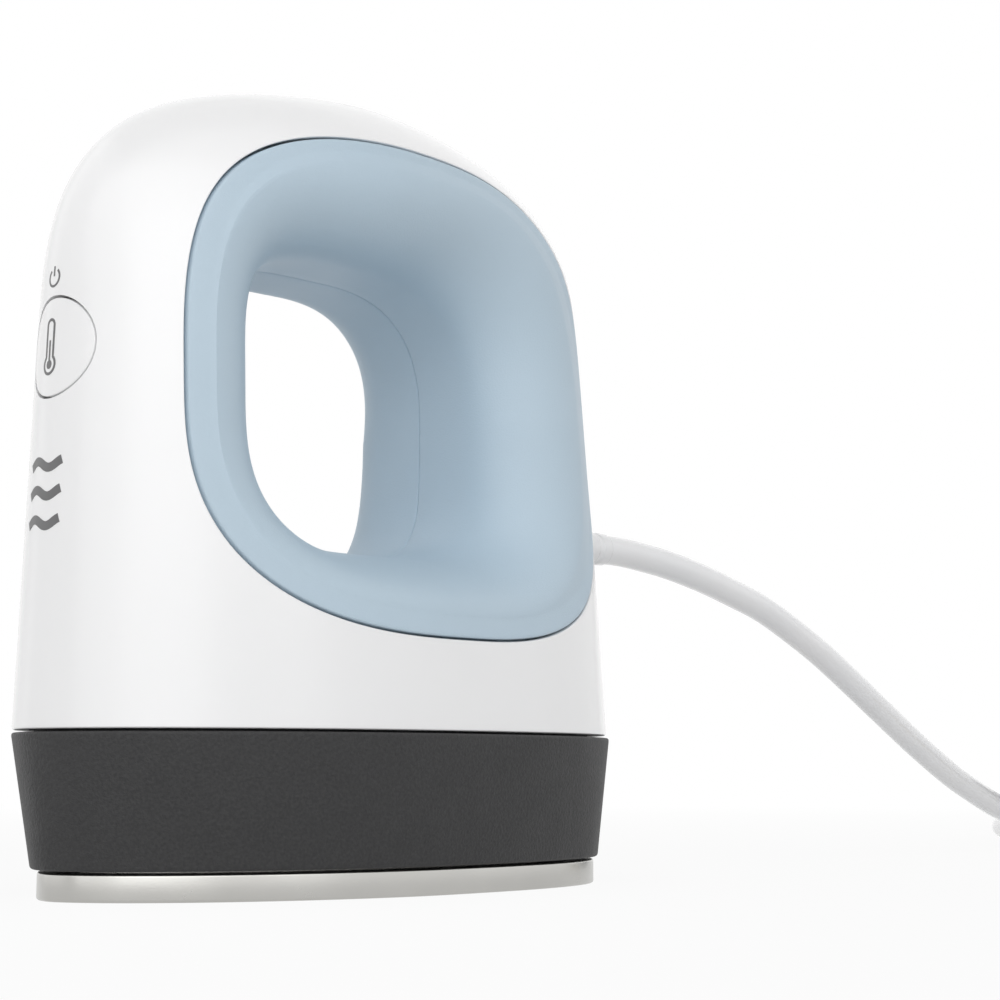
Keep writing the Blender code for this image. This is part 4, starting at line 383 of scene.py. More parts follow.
def shell_egg(level, inset):
    """The housing's outline at a level, or that of its inner face when it is inset by the wall."""
    base = grown(skirt_egg(SKIRT_TOP), -SHELL_LEDGE - inset)
    base = base._replace(front=base.front - SHELL_LEDGE)
    rise = level - SHELL_BASE
    top = BODY_HEIGHT - inset
    share = min(max(rise / (BODY_HEIGHT - SHELL_BASE), 0), 1)
    front_reach = (CROWN_PLACE - base.front - FRONT_DRAFT * rise) * crown(
        level, FRONT_SHOULDER, top, FRONT_CROWN_POWER)
    rear_reach = (base.rear - REAR_DRAFT * rise - CROWN_PLACE) * crown(
        level, REAR_SHOULDER, top, REAR_CROWN_POWER)
    half_width = (base.half_width - SIDE_DRAFT * rise) * crown(level, SIDE_SHOULDER, top, SIDE_CROWN_POWER)
    front, rear = CROWN_PLACE - front_reach, CROWN_PLACE + rear_reach
    widest = min(max(blend(base.widest, CROWN_PLACE, share ** 2), front), rear)
    return Egg(half_width, front, rear, widest,
               blend(BODY_FRONT_POWER, CROWN_OUTLINE_POWER, share),
               blend(BODY_REAR_POWER, CROWN_OUTLINE_POWER, share))


def shell_side(y, z, inset=0):
    """How far the housing's side stands from the middle plane at (y, z)."""
    return egg_half_width(shell_egg(z, inset), y)


def shell_front(x, z, inset=0):
    """Where the housing's front face runs at (x, z)."""
    return egg_front_at(shell_egg(z, inset), x)


def around(values, angle):
    """A value at an angle round the grip, from those at its rear, top, front and bottom."""
    along, up = math.cos(angle), math.sin(angle)
    across = values["rear"] if along > 0 else values["front"]
    upright = values["top"] if up > 0 else values["bottom"]
    return across * along ** 2 + upright * up ** 2


def add_thing(name, data):
    """A new object in the scene."""
    thing = bpy.data.objects.new(name, data)
    bpy.context.scene.collection.objects.link(thing)
    return thing


# Camera

def make_camera():
    camera = add_thing("camera", bpy.data.cameras.new("camera"))
    camera.location = (VIEW_DISTANCE * math.sin(VIEW_AZIMUTH),
                       -VIEW_DISTANCE * math.cos(VIEW_AZIMUTH) - VIEW_SETBACK, VIEW_LEVEL)
    heading = VIEW_AZIMUTH + VIEW_YAW
    ahead = Vector((-math.sin(heading) * math.cos(VIEW_PITCH), math.cos(heading) * math.cos(VIEW_PITCH),
                    math.sin(VIEW_PITCH)))
    camera.rotation_mode = "QUATERNION"
    camera.rotation_quaternion = ahead.to_track_quat("-Z", "Y")
    camera.data.lens = LENS_LENGTH
    camera.data.sensor_width = SENSOR_WIDTH
    camera.data.clip_start = CLIP_START
    camera.data.clip_end = 4 * FLOOR_HALF_WIDTH
    bpy.context.scene.camera = camera


# Mesh helpers

def shade(name, mesh):
    """Smooth shading, apart from the piece's sharp edges."""
    mesh.shade_smooth()
    mesh.set_sharp_from_angle(angle=math.radians(OTHER_SHARP_ANGLES.get(name, SHARP_ANGLE)))


def place_mesh(name, mesh, material, body="press_body"):
    """Put a finished mesh in the scene, as a piece that rides on a body."""
    shade(name, mesh)
    mesh.materials.append(material)
    piece = add_thing(name, mesh)
    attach(piece, body)
    return piece


def finish_mesh(name, form):
    bmesh.ops.recalc_face_normals(form, faces=form.faces)
    mesh = bpy.data.meshes.new(name)
    form.to_mesh(mesh)
    form.free()
    return mesh


def bridge(form, one, other):
    count = len(one)
    for step in range(count):
        after = (step + 1) % count
        form.faces.new((one[step], one[after], other[after], other[step]))


def close_end(form, ring, end):
    if end is None:
        form.faces.new(ring)
        return
    tip = form.verts.new(end)
    for step in range(len(ring)):
        form.faces.new((ring[step], ring[(step + 1) % len(ring)], tip))


def loft(name, loops, start=None, end=None):
    """A solid through loops of points, closed at both ends by a face or by a point."""
    form = bmesh.new()
    rings = [[form.verts.new(point) for point in loop] for loop in loops]
    for one, other in zip(rings, rings[1:]):
        bridge(form, one, other)
    close_end(form, rings[0], start)
    close_end(form, rings[-1], end)
    return finish_mesh(name, form)


def hoop(name, loops):
    """A ring-shaped solid: loops of points joined one to the next, and the last to the first."""
    form = bmesh.new()
    rings = [[form.verts.new(point) for point in loop] for loop in loops]
    for one, other in zip(rings, rings[1:] + rings[:1]):
        bridge(form, one, other)
    return finish_mesh(name, form)


def turned(name, profile, place, direction, sides=ROUND_SIDES):
    """A turned solid: (radius, distance) pairs along an axis, closed flat at both ends."""
    turn = direction.to_track_quat("Z", "Y").to_matrix()
    loops = []
    for radius, distance in profile:
        loops.append([place + turn @ Vector((*point, distance)) for point in circle(radius, sides)])
    return loft(name, loops)


def rounded_corner(before, corner, after, radius, steps=EDGE_STEPS):
    """Points of an arc that rounds off an outline's corner."""
    back, ahead = (before - corner).normalized(), (after - corner).normalized()
    start, end = corner + back * radius, corner + ahead * radius
    points = []
    for step in range(steps + 1):
        share = step / steps
        points.append(start * (1 - share) ** 2 + corner * 2 * share * (1 - share) + end * share ** 2)
    return points


def edge_steps(radius, steps):
    """How far in from each of its two faces a rounded edge runs, at some of its steps."""
    for step in steps:
        turn = math.pi / 2 * step / EDGE_STEPS
        yield radius * (1 - math.cos(turn)), radius * (1 - math.sin(turn))


def circle(radius, sides):
    """Points (across, up) of a circle round zero."""
    return [(radius * math.cos(math.tau * step / sides), radius * math.sin(math.tau * step / sides))
            for step in range(sides)]


def run_lengths(points):
    """How far along a line of points each of them lies."""
    lengths = [0]
    for one, other in zip(points, points[1:]):
        lengths.append(lengths[-1] + (other - one).length)
    return lengths


def evenly_spaced(fine, count):
    """Points that cut a line of fine points into equal lengths."""
    lengths = run_lengths(fine)
    points, place = [], 0
    for step in range(count + 1):
        target = lengths[-1] * step / count
        while place < len(lengths) - 2 and lengths[place + 1] < target:
            place += 1
        share = (target - lengths[place]) / max(lengths[place + 1] - lengths[place], 1e-12)
        points.append(fine[place].lerp(fine[place + 1], min(max(share, 0), 1)))
    return points


def smooth_path(points, spacing):
    """Evenly spaced points on the smooth curve through the route's points."""
    route = [Vector(point) for point in points]
    ends = [2 * route[0] - route[1]] + route + [2 * route[-1] - route[-2]]
    fine = []
    for before, start, end, after in zip(ends, ends[1:], ends[2:], ends[3:]):
        for step in range(BEND_STEPS):
            share = step / BEND_STEPS
            leave, arrive = (end - before) / 2, (after - start) / 2
            toward_end = 3 * share ** 2 - 2 * share ** 3
            fine.append(start * (1 - toward_end) + leave * (share ** 3 - 2 * share ** 2 + share)
                        + end * toward_end + arrive * (share ** 3 - share ** 2))
    fine.append(route[-1])
    return evenly_spaced(fine, max(round(run_lengths(fine)[-1] / spacing), 2))


def rounded_outline(middle, half_width, half_height, corner, steps=6):
    """Points of an upright rectangle with rounded corners, anticlockwise."""
    outline = []
    for quarter, (across, up) in enumerate(((1, -1), (1, 1), (-1, 1), (-1, -1))):
        for step in range(steps + 1):
            angle = math.pi / 2 * (quarter - 1 + step / steps)
            outline.append((middle[0] + across * (half_width - corner) + corner * math.cos(angle),
                            middle[1] + up * (half_height - corner) + corner * math.sin(angle)))
    return outline


# Shader groups

def add_node(tree, kind, values=None, links=None, **settings):
    """A node with its settings, its sockets' values, and links to its inputs."""
    node = tree.nodes.new("ShaderNode" + kind)
    for setting, value in settings.items():
        setattr(node, setting, value)
    for socket, value in (values or {}).items():
        node.inputs[socket].default_value = value
    for socket, source in (links or {}).items():
        tree.links.new(source, node.inputs[socket])
    return node


def calculate(tree, operation, one, other, **settings):
    """The result of a calculation on two sockets."""
    return add_node(tree, "Math", None, {0: one, 1: other}, operation=operation, **settings).outputs["Value"]


def spread(tree, value, low, high):
    """A socket's value drawn out from a range to that from zero to one."""
    return add_node(tree, "MapRange", {"From Min": low, "From Max": high}, {"Value": value}).outputs["Result"]


def mix_colours(tree, share, one, other):
    """The mix of a colour socket with another one, or with a fixed colour."""
    mix = add_node(tree, "Mix", None, {"Factor": share, 6: one}, data_type="RGBA")
    if isinstance(other, tuple):
        mix.inputs[7].default_value = (*other, 1)
    else:
        tree.links.new(other, mix.inputs[7])
    return mix.outputs[2]


def noise_group(name, inputs, outputs, **values):
    """A node group with a noise in it: (name, kind) of its further inputs and of its outputs."""
    group = bpy.data.node_groups.new(name, "ShaderNodeTree")
    for title, kind in [("Vector", "Vector"), ("Scale", "Float")] + inputs:
        group.interface.new_socket(name=title, in_out="INPUT", socket_type="NodeSocket" + kind)
    for title, kind in outputs:
        group.interface.new_socket(name=title, in_out="OUTPUT", socket_type="NodeSocket" + kind)
    start = group.nodes.new("NodeGroupInput").outputs
    end = group.nodes.new("NodeGroupOutput").inputs
    noise = add_node(group, "TexNoise", values, {"Vector": start["Vector"], "Scale": start["Scale"]})
    return group, start, end, noise.outputs["Fac"]


def grain_group():
    """Fine relief of a moulded or cast surface."""
    group, start, end, noise = noise_group("fine_grain", [("Sharpness", "Float")], [("Height", "Float")],
                                           Detail=3.0, Roughness=0.6)
    height = calculate(group, "POWER", spread(group, noise, 0.32, 0.68), start["Sharpness"])
    group.links.new(height, end["Height"])
    return group


def drift_group():
    """A slow change between two close colours."""
    group, start, end, noise = noise_group("tone_drift", [("Colour", "Color"), ("Other", "Color")],
                                           [("Colour", "Color")], Detail=2.0, Roughness=0.5)
    tone = mix_colours(group, spread(group, noise, 0.35, 0.65), start["Colour"], start["Other"])
    group.links.new(tone, end["Colour"])
    return group


def marks_group():
    """Roughness with the soft, faint smears that handling leaves."""
    group, start, end, noise = noise_group("handling_marks", [("Low", "Float"), ("High", "Float")],
                                           [("Roughness", "Float")],
                                           Detail=4.0, Roughness=0.62, Distortion=0.6)
    ramp = add_node(group, "MapRange", {"From Min": 0.3, "From Max": 0.72},
                    {"Value": noise, "To Min": start["Low"], "To Max": start["High"]})
    group.links.new(ramp.outputs["Result"], end["Roughness"])
    return group


def wear_group():
    """A mask along sharp outer edges, broken up by noise."""
    group, start, end, noise = noise_group("edge_wear", [("Amount", "Float")], [("Mask", "Float")],
                                           Detail=3.0)
    edge = spread(group, add_node(group, "NewGeometry").outputs["Pointiness"], 0.52, 0.62)
    broken = calculate(group, "MULTIPLY", edge, noise)
    mask = calculate(group, "MULTIPLY", broken, start["Amount"], use_clamp=True)
    group.links.new(mask, end["Mask"])
    return group


GROUPS = {"grain": grain_group(), "drift": drift_group(), "marks": marks_group(), "wear": wear_group()}


def use_group(tree, name, vector, **values):
    node = tree.nodes.new("ShaderNodeGroup")
    node.node_tree = GROUPS[name]
    tree.links.new(vector, node.inputs["Vector"])
    for socket, value in values.items():
        node.inputs[socket].default_value = value
    return node


def stretched(tree, vector, stretch):
    """Texture coordinates drawn out along an axis, for brushed and drawn surfaces."""
    return add_node(tree, "Mapping", {"Scale": stretch}, {"Vector": vector}).outputs["Vector"]


def add_relief(tree, source, height):
    """Let a height shape the surface of a material."""
    bump = add_node(tree, "Bump", {"Strength": 1.0, "Distance": height}, {"Height": source})
    tree.links.new(bump.outputs["Normal"], tree.nodes["Principled BSDF"].inputs["Normal"])


def finish(name, colour, other, roughness, drift=40.0, marks=60.0, grain=None, wear=None,
           stretch=None, **fixed):
    """A material: two close colours, a roughness range with handling marks, grain and edge wear."""
    material = bpy.data.materials.new(name)
    material.use_nodes = True
    tree = material.node_tree
    shader = tree.nodes["Principled BSDF"]
    for socket, value in fixed.items():
        shader.inputs[socket.replace("_", " ")].default_value = value
    place = add_node(tree, "TexCoord").outputs["Object"]
    fine = stretched(tree, place, stretch) if stretch else place
    drifting = use_group(tree, "drift", place, Scale=drift, Colour=(*colour, 1), Other=(*other, 1))
    tone = drifting.outputs["Colour"]
    if wear:
        worn, scale, amount = wear
        mask = use_group(tree, "wear", place, Scale=scale, Amount=amount).outputs["Mask"]
        tone = mix_colours(tree, mask, tone, worn)
    tree.links.new(tone, shader.inputs["Base Color"])
    rough = use_group(tree, "marks", fine, Scale=marks, Low=roughness[0], High=roughness[1])
    tree.links.new(rough.outputs["Roughness"], shader.inputs["Roughness"])
    if grain:
        scale, height, sharpness = grain
        relief = use_group(tree, "grain", fine, Scale=scale, Sharpness=sharpness)
        add_relief(tree, relief.outputs["Height"], height)
    return material


WHITE = (0.89, 0.89, 0.895)
WHITE_OTHER = (0.875, 0.875, 0.88)
BLUE = (0.505, 0.625, 0.72)
BLUE_OTHER = (0.49, 0.61, 0.705)
DARK_GREY = (0.041, 0.041, 0.042)
DARK_GREY_OTHER = (0.031, 0.031, 0.032)
SATIN = (0.47, 0.465, 0.445)
SATIN_OTHER = (0.45, 0.445, 0.425)
MARK_GREY = (0.13, 0.13, 0.133)


def all_materials():
    """Each finish of the press: outside first, then the pieces inside."""
    return {
        "gloss_white": finish("gloss_white", WHITE, WHITE_OTHER, (0.3, 0.36), drift=18, marks=35,
                              grain=(5200, 0.002 * MM, 1.0), Coat_Weight=1.0, Coat_Roughness=0.22,
                              Specular_IOR_Level=0.8),
        "liner_blue": finish("liner_blue", BLUE, BLUE_OTHER, (0.5, 0.6), drift=25, marks=80,
                             grain=(4200, 0.012 * MM, 1.0), Coat_Weight=0.25, Coat_Roughness=0.4),
        "skirt_grained": finish("skirt_grained", DARK_GREY, DARK_GREY_OTHER, (0.5, 0.62), drift=2600,
                                marks=120, grain=(2300, 0.06 * MM, 1.2), Specular_IOR_Level=0.3),
        "plate_satin": finish("plate_satin", SATIN, SATIN_OTHER, (0.22, 0.28), drift=90, marks=200,
                              grain=(3500, 0.0015 * MM, 1.0), Metallic=1.0),
        "mark_grey": finish("mark_grey", MARK_GREY, (0.15, 0.15, 0.153), (0.38, 0.48), drift=300, marks=400,
                            grain=(6000, 0.004 * MM, 1.0)),
        "cord_white": finish("cord_white", (0.87, 0.87, 0.88), (0.85, 0.855, 0.87), (0.3, 0.4), drift=60,
                             marks=60, grain=(2600, 0.001 * MM, 1.0), Coat_Weight=1.0, Coat_Roughness=0.12),
        "tie_weave": tie_weave(),
        "blade_brass": finish("blade_brass", (0.78, 0.64, 0.36), (0.72, 0.58, 0.31), (0.2, 0.34), drift=150,
                              marks=500, grain=(1500, 0.004 * MM, 1.0), stretch=(1.0, 0.08, 1.0),
                              wear=((0.86, 0.76, 0.5), 700, 0.6), Metallic=1.0),
        "chassis_nylon": finish("chassis_nylon", (0.11, 0.11, 0.12), (0.085, 0.085, 0.095), (0.45, 0.62),
                                grain=(1800, 0.03 * MM, 1.1)),
        "board_green": solder_mask(),
        "mica": finish("mica", (0.70, 0.66, 0.55), (0.58, 0.52, 0.40), (0.7, 0.92), drift=350,
                       grain=(900, 0.05 * MM, 0.8), stretch=(0.25, 1.0, 1.0)),
        "element_steel": finish("element_steel", (0.42, 0.40, 0.38), (0.30, 0.27, 0.25), (0.3, 0.5),
                                drift=200, grain=(1600, 0.01 * MM, 1.0), Metallic=1.0),
        "brass": finish("brass", (0.74, 0.59, 0.30), (0.62, 0.47, 0.22), (0.25, 0.42), drift=250,
                        grain=(2200, 0.006 * MM, 1.0), Metallic=1.0),
        "bright_metal": finish("bright_metal", (0.72, 0.72, 0.74), (0.62, 0.62, 0.65), (0.25, 0.42),
                               drift=200, grain=(1400, 0.006 * MM, 1.0), stretch=(1.0, 0.06, 1.0),
                               Metallic=1.0),
        "can_sleeve": finish("can_sleeve", (0.04, 0.05, 0.11), (0.03, 0.035, 0.085), (0.25, 0.38)),
        "film_yellow": finish("film_yellow", (0.72, 0.56, 0.10), (0.66, 0.49, 0.07), (0.32, 0.45),
                              grain=(1500, 0.01 * MM, 1.0)),
        "black_plastic": finish("black_plastic", (0.028, 0.028, 0.03), (0.04, 0.04, 0.042), (0.42, 0.6),
                                grain=(3000, 0.012 * MM, 1.0)),
        "terminal_grey": finish("terminal_grey", (0.38, 0.40, 0.41), (0.34, 0.36, 0.37), (0.45, 0.6),
                                grain=(2200, 0.015 * MM, 1.0)),
        "plunger_red": finish("plunger_red", (0.48, 0.06, 0.05), (0.42, 0.05, 0.045), (0.4, 0.52),
                              grain=(2600, 0.01 * MM, 1.0)),
        "lamp_white": finish("lamp_white", (0.80, 0.80, 0.72), (0.78, 0.76, 0.60), (0.2, 0.32), drift=900),
        "clear_plastic": finish("clear_plastic", (0.86, 0.88, 0.89), (0.82, 0.85, 0.87), (0.1, 0.2),
                                Transmission_Weight=0.6, IOR=1.49),
        "lead_brown": finish("lead_brown", (0.22, 0.11, 0.055), (0.19, 0.09, 0.045), (0.38, 0.5)),
        "lead_blue": finish("lead_blue", (0.09, 0.23, 0.52), (0.075, 0.2, 0.46), (0.38, 0.5)),
        "lead_white": finish("lead_white", (0.74, 0.74, 0.74), (0.70, 0.70, 0.69), (0.38, 0.5)),
        "screw_steel": finish("screw_steel", (0.56, 0.56, 0.58), (0.48, 0.48, 0.5), (0.25, 0.42), drift=400,
                              grain=(2400, 0.006 * MM, 1.0), Metallic=1.0),
    }


def tie_weave():
    """Hook-and-loop strap: a black ground with short looped pile in crossing rows."""
    material = finish("tie_weave", (0.035, 0.035, 0.037), (0.055, 0.055, 0.057), (0.72, 0.9), drift=1400,
                      Sheen_Weight=0.2, Sheen_Roughness=0.6)
    tree = material.node_tree
    place = add_node(tree, "TexCoord").outputs["Object"]
    rows = [add_node(tree, "TexWave", {"Scale": scale, "Distortion": 1.5, "Detail": 2.0}, {"Vector": place},
                     bands_direction=direction).outputs["Fac"]
            for scale, direction in ((700, "X"), (620, "Z"))]
    add_relief(tree, calculate(tree, "MULTIPLY", *rows), 0.12 * MM)
    return material


def solder_mask():
    """Green board: a satin mask over faint copper tracks."""
    material = finish("solder_mask", (0.035, 0.20, 0.09), (0.03, 0.17, 0.075), (0.3, 0.45), drift=120)
    tree = material.node_tree
    shader = tree.nodes["Principled BSDF"]
    place = add_node(tree, "TexCoord").outputs["Object"]
    tracks = add_node(tree, "TexBrick", {"Scale": 120.0, "Mortar Size": 0.06, "Color1": (0, 0, 0, 1),
                                         "Color2": (0, 0, 0, 1), "Mortar": (1, 1, 1, 1)}, {"Vector": place})
    tone = shader.inputs["Base Color"].links[0].from_socket
    mixed = mix_colours(tree, tracks.outputs["Fac"], tone, (0.09, 0.32, 0.13))
    tree.links.new(mixed, shader.inputs["Base Color"])
    add_relief(tree, tracks.outputs["Fac"], 0.03 * MM)
    return material


# Cord, coil, tie and plug

def coil_start():
    """Where the free stretch ends and the coil begins."""
    return Vector(CORD_ROUTE[-1]) * MM + Vector((0, GAP, 0))


def coil_middle():
    return coil_start() + Vector((COIL_MEAN_RADIUS + COIL_SPACING, CORD_DIAMETER, 0))


def plug_rise():
    """How far the cord's end at the plug lies above the coil's lowest loops."""
    return PLUG_HEIGHT / 2 - coil_start().z + GAP


def coil_radius_and_rise(turn):
    """How far from its middle and how high above its first loop the coil runs after some turns."""
    outer, inner = COIL_MEAN_RADIUS + COIL_SPACING, COIL_MEAN_RADIUS - COIL_SPACING
    layer = min(int(turn / COIL_TURNS_A_LAYER), COIL_LAYERS - 1)
    within = turn - layer * COIL_TURNS_A_LAYER
    share = min(within / COIL_WOUND_TURNS, 1)
    radius = blend(outer, inner, share) if layer % 2 == 0 else blend(inner, outer, share)
    climb = smooth_step((within - COIL_WOUND_TURNS) / (COIL_TURNS_A_LAYER - COIL_WOUND_TURNS))
    level = (layer + climb) * COIL_LAYER_RISE
    leaves_at = COIL_WOUND_TURNS - 1 / 2
    if layer == COIL_LAYERS - 1 and within > leaves_at:
        left_at = blend(inner, outer, leaves_at / COIL_WOUND_TURNS)
        past = COIL_END_HASTE * (within - leaves_at)
        radius = blend(left_at, outer + COIL_END_SPACING, smooth_step(past))
        level = layer * COIL_LAYER_RISE
        level -= (level - plug_rise()) * smooth_step(past - 1)
    return radius, level


def coil_path():
    """Layers wound in and out again, then down outside them to a straight end on the table."""
    path = []
    turns = COIL_TURNS_A_LAYER * (COIL_LAYERS - 1) + COIL_WOUND_TURNS
    for step in range(round(turns * COIL_POINTS_A_TURN) + 1):
        turn = step / COIL_POINTS_A_TURN
        radius, level = coil_radius_and_rise(turn)
        angle = math.pi - math.tau * turn
        path.append(coil_middle() + Vector((radius * math.cos(angle), radius * math.sin(angle), level)))
    for _ in range(COIL_END_DIAMETERS):
        path.append(path[-1] - Vector((0, CORD_DIAMETER, 0)))
    return path


def cord_path():
    route = [Vector(point) * MM for point in CORD_ROUTE]
    route[0].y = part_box("strain_relief")[1].y - GAP
    return smooth_path(route, CORD_POINT_SPACING) + coil_path()


def make_cord(materials):
    """The whole cord as one tube, from the strain relief through the coil to the plug."""
    path = cord_path()
    curve = bpy.data.curves.new("cord", "CURVE")
    curve.dimensions = "3D"
    curve.bevel_depth = CORD_DIAMETER / 2
    curve.bevel_resolution = CORD_ROUNDING
    curve.use_fill_caps = True
    spline = curve.splines.new("POLY")
    spline.points.add(len(path) - 1)
    for point, place in zip(spline.points, path):
        point.co = (*place, 1)
    spline.use_smooth = True
    cord = add_thing("cord", curve)
    curve.materials.append(materials["cord_white"])
    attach(cord, "press_body")
    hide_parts("power_cord", "cord_coil")
    return cord, path


def make_tie(materials):
    """The strap round the bundle of turns."""
    start, middle = coil_start(), coil_middle()
    reach = COIL_SPACING + CORD_DIAMETER / 2 + GAP
    half_rise = (COIL_LAYERS - 1) * COIL_LAYER_RISE / 2
    half_height = half_rise + CORD_DIAMETER / 2 + GAP
    edge = TIE_THICKNESS / 4
    half = TIE_WIDTH / 2
    outer = TIE_THICKNESS
    profile = [(0, -half + edge), (edge, -half), (outer - edge, -half), (outer, -half + edge),
               (outer, half - edge), (outer - edge, half), (edge, half), (0, half - edge)]
    loops = []
    for outset, shift in profile:
        band = rounded_outline((COIL_MEAN_RADIUS, start.z + half_rise), reach + outset, half_height + outset,
                               TIE_CORNER / 2 + outset)
        loops.append([Vector((middle.x + shift, middle.y - radius, level)) for radius, level in band])
    tie = place_mesh("cord_tie", hoop("cord_tie", loops), materials["tie_weave"])
    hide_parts("coil_tie")
    return tie


def make_plug(materials):
    """The moulded plug, with a ribbed grip behind its shoulders."""
    low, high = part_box("plug_body")
    middle_x, middle_z = (low.x + high.x) / 2, (low.z + high.z) / 2
    end = high.y
    neck = CORD_DIAMETER * PLUG_NECK_DIAMETERS
    loops = []
    for step in range(PLUG_STEPS + 1):
        share = step / PLUG_STEPS
        distance = PLUG_LENGTH * share
        shoulder = smooth_step((distance / PLUG_NECK_LENGTH - PLUG_SHOULDER_START) / PLUG_SHOULDER_SPREAD)
        width = blend(neck, PLUG_WIDTH, shoulder)
        height = blend(neck, PLUG_HEIGHT, shoulder)
        along_grip = (share - PLUG_GRIP_START) / PLUG_GRIP_SHARE
        if 0 < along_grip < 1:
            width -= PLUG_GRIP_DEPTH * (1 - math.cos(math.tau * PLUG_GRIP_RIBS * along_grip))
        tip = max(0, (distance - PLUG_LENGTH + PLUG_CORNER / 2) / (PLUG_CORNER / 2))
        width -= PLUG_CORNER * tip * tip
        height -= PLUG_CORNER * tip * tip
        corner = min(PLUG_CORNER, height / 3)
        outline = rounded_outline((middle_x, middle_z), width / 2, height / 2, corner)
        loops.append([Vector((x, end - distance, z)) for x, z in outline])
    plug = place_mesh("plug", loft("plug", loops), materials["cord_white"])
    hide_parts("plug_body")
    return plug


def make_cord_set(materials):
    cord, path = make_cord(materials)
    tie, plug = make_tie(materials), make_plug(materials)


# Housing

def side_profile(through, level_bottom, inset):
    """Where a ray from the window's middle through a point leaves the housing, in the side view."""
    middle = Vector((WINDOW_PLACE, WINDOW_LEVEL))
    ahead = Vector(through) - middle
    near, far = 1.0, LONGEST_RAY
    for _ in range(HALVINGS):
        share = (near + far) / 2
        y, z = middle + ahead * share
        inside = level_bottom <= z < BODY_HEIGHT - inset
        if inside:
            egg = shell_egg(z, inset)
            inside = egg.front <= y <= egg.rear
        near, far = (share, far) if inside else (near, share)
    return middle + ahead * near


def spread_along_base(ends, level, inset):
    """Set the columns' ends at the base evenly apart along its outline, from front to rear."""
    egg = shell_egg(level, inset)
    corners = [Vector((y, level)) for y in (egg.front, egg.rear)]
    first, last = (min(range(AROUND), key=lambda index: (ends[index] - corner).length) for corner in corners)
    count = FINER_OUTLINE * AROUND
    outline = egg_loop(egg, level, count)
    half = outline[3 * count // 4:] + outline[:count // 4 + 1]
    lengths = run_lengths(half)
    place = 0
    for index in range(first, last + 1):
        target = lengths[-1] * (index - first) / (last - first)
        while lengths[place] < target and place < len(half) - 1:
            place += 1
        ends[index] = Vector((half[place].y, level))
    ends[first], ends[last] = corners
    return first, last


def shell_patch(inset, level_bottom, outset, steps):
    """Columns on the housing's right side, from the window's outline to the middle plane or base."""
    rays = [oval_point(WINDOW, math.tau * step / AROUND, outset) for step in range(AROUND)]
    ends = [side_profile(ray, level_bottom, inset) for ray in rays]
    first, last = spread_along_base(ends, level_bottom, inset)
    columns = []
    for index, (ray, end) in enumerate(zip(rays, ends)):
        start = Vector(ray)
        fine = []
        finer = FINER_STEPS * steps
        for step in range(finer + 1):
            y, z = start.lerp(end, 1 - (1 - step / finer) ** 2)
            fine.append(Vector((shell_side(y, z, inset), y, z)))
        if not first < index < last:
            fine[-1].x = 0
        column = evenly_spaced(fine, steps)
        for point in column[1:-1]:
            point.x = shell_side(point.y, point.z, inset)
        columns.append(column)
    return columns


def fullness_change(egg, x, y, probe):
    """By how much the egg's fullness grows from one probe before a point to one past it, along x and y."""
    return Vector((egg_fullness(egg, x + probe, y) - egg_fullness(egg, x - probe, y),
                   egg_fullness(egg, x, y + probe) - egg_fullness(egg, x, y - probe)))


def shell_facing(point):
    """The way the housing's outer face looks at a point on it."""
    x, y, z = point
    above = min(z + PROBE, BODY_HEIGHT - PROBE)
    below = min(z, BODY_HEIGHT - PROBE) - PROBE
    across = fullness_change(shell_egg(min(z, BODY_HEIGHT - PROBE), 0), x, y, PROBE) / (2 * PROBE)
    rise = egg_fullness(shell_egg(above, 0), x, y) - egg_fullness(shell_egg(below, 0), x, y)
    return Vector((across.x, across.y, rise / (above - below))).normalized()


def shade_like_housing(mesh):
    """Give the faces on the housing's outer surface its exact normals, for a clean gloss."""
    facing = {}
    normals = []
    tolerance = 0.004
    crown_band = 0.1 * MM
    least_match = 0.5
    for face in mesh.polygons:
        for index in face.vertices:
            if index not in facing:
                place = mesh.vertices[index].co
                level = min(max(place.z, SHELL_BASE), BODY_HEIGHT - PROBE)
                on_surface = abs(egg_fullness(shell_egg(level, 0), place.x, place.y) - 1) < tolerance
                at_top = place.z > BODY_HEIGHT - crown_band
                facing[index] = shell_facing(place) if on_surface or at_top else None
            normal = facing[index]
            matches = normal is not None and normal.dot(face.normal) > least_match
            normals.append(normal if matches else Vector((0, 0, 0)))
    mesh.normals_split_custom_set(normals)


def cut_out(thing, cutters):
    """Cut closed meshes out of a piece for good."""
    guides = []
    for cutter in cutters:
        guide = add_thing("cutter", cutter)
        modifier = thing.modifiers.new("cut", "BOOLEAN")
        modifier.object = guide
        modifier.operation = "DIFFERENCE"
        modifier.solver = "EXACT"
        guides.append(guide)
    bpy.context.view_layer.update()
    evaluated = thing.evaluated_get(bpy.context.evaluated_depsgraph_get())
    mesh = bpy.data.meshes.new_from_object(evaluated)
    thing.modifiers.clear()
    old = thing.data
    thing.data = mesh
    bpy.data.meshes.remove(old)
    for guide in guides:
        bpy.data.objects.remove(guide)
    mesh.name = thing.name
    return mesh


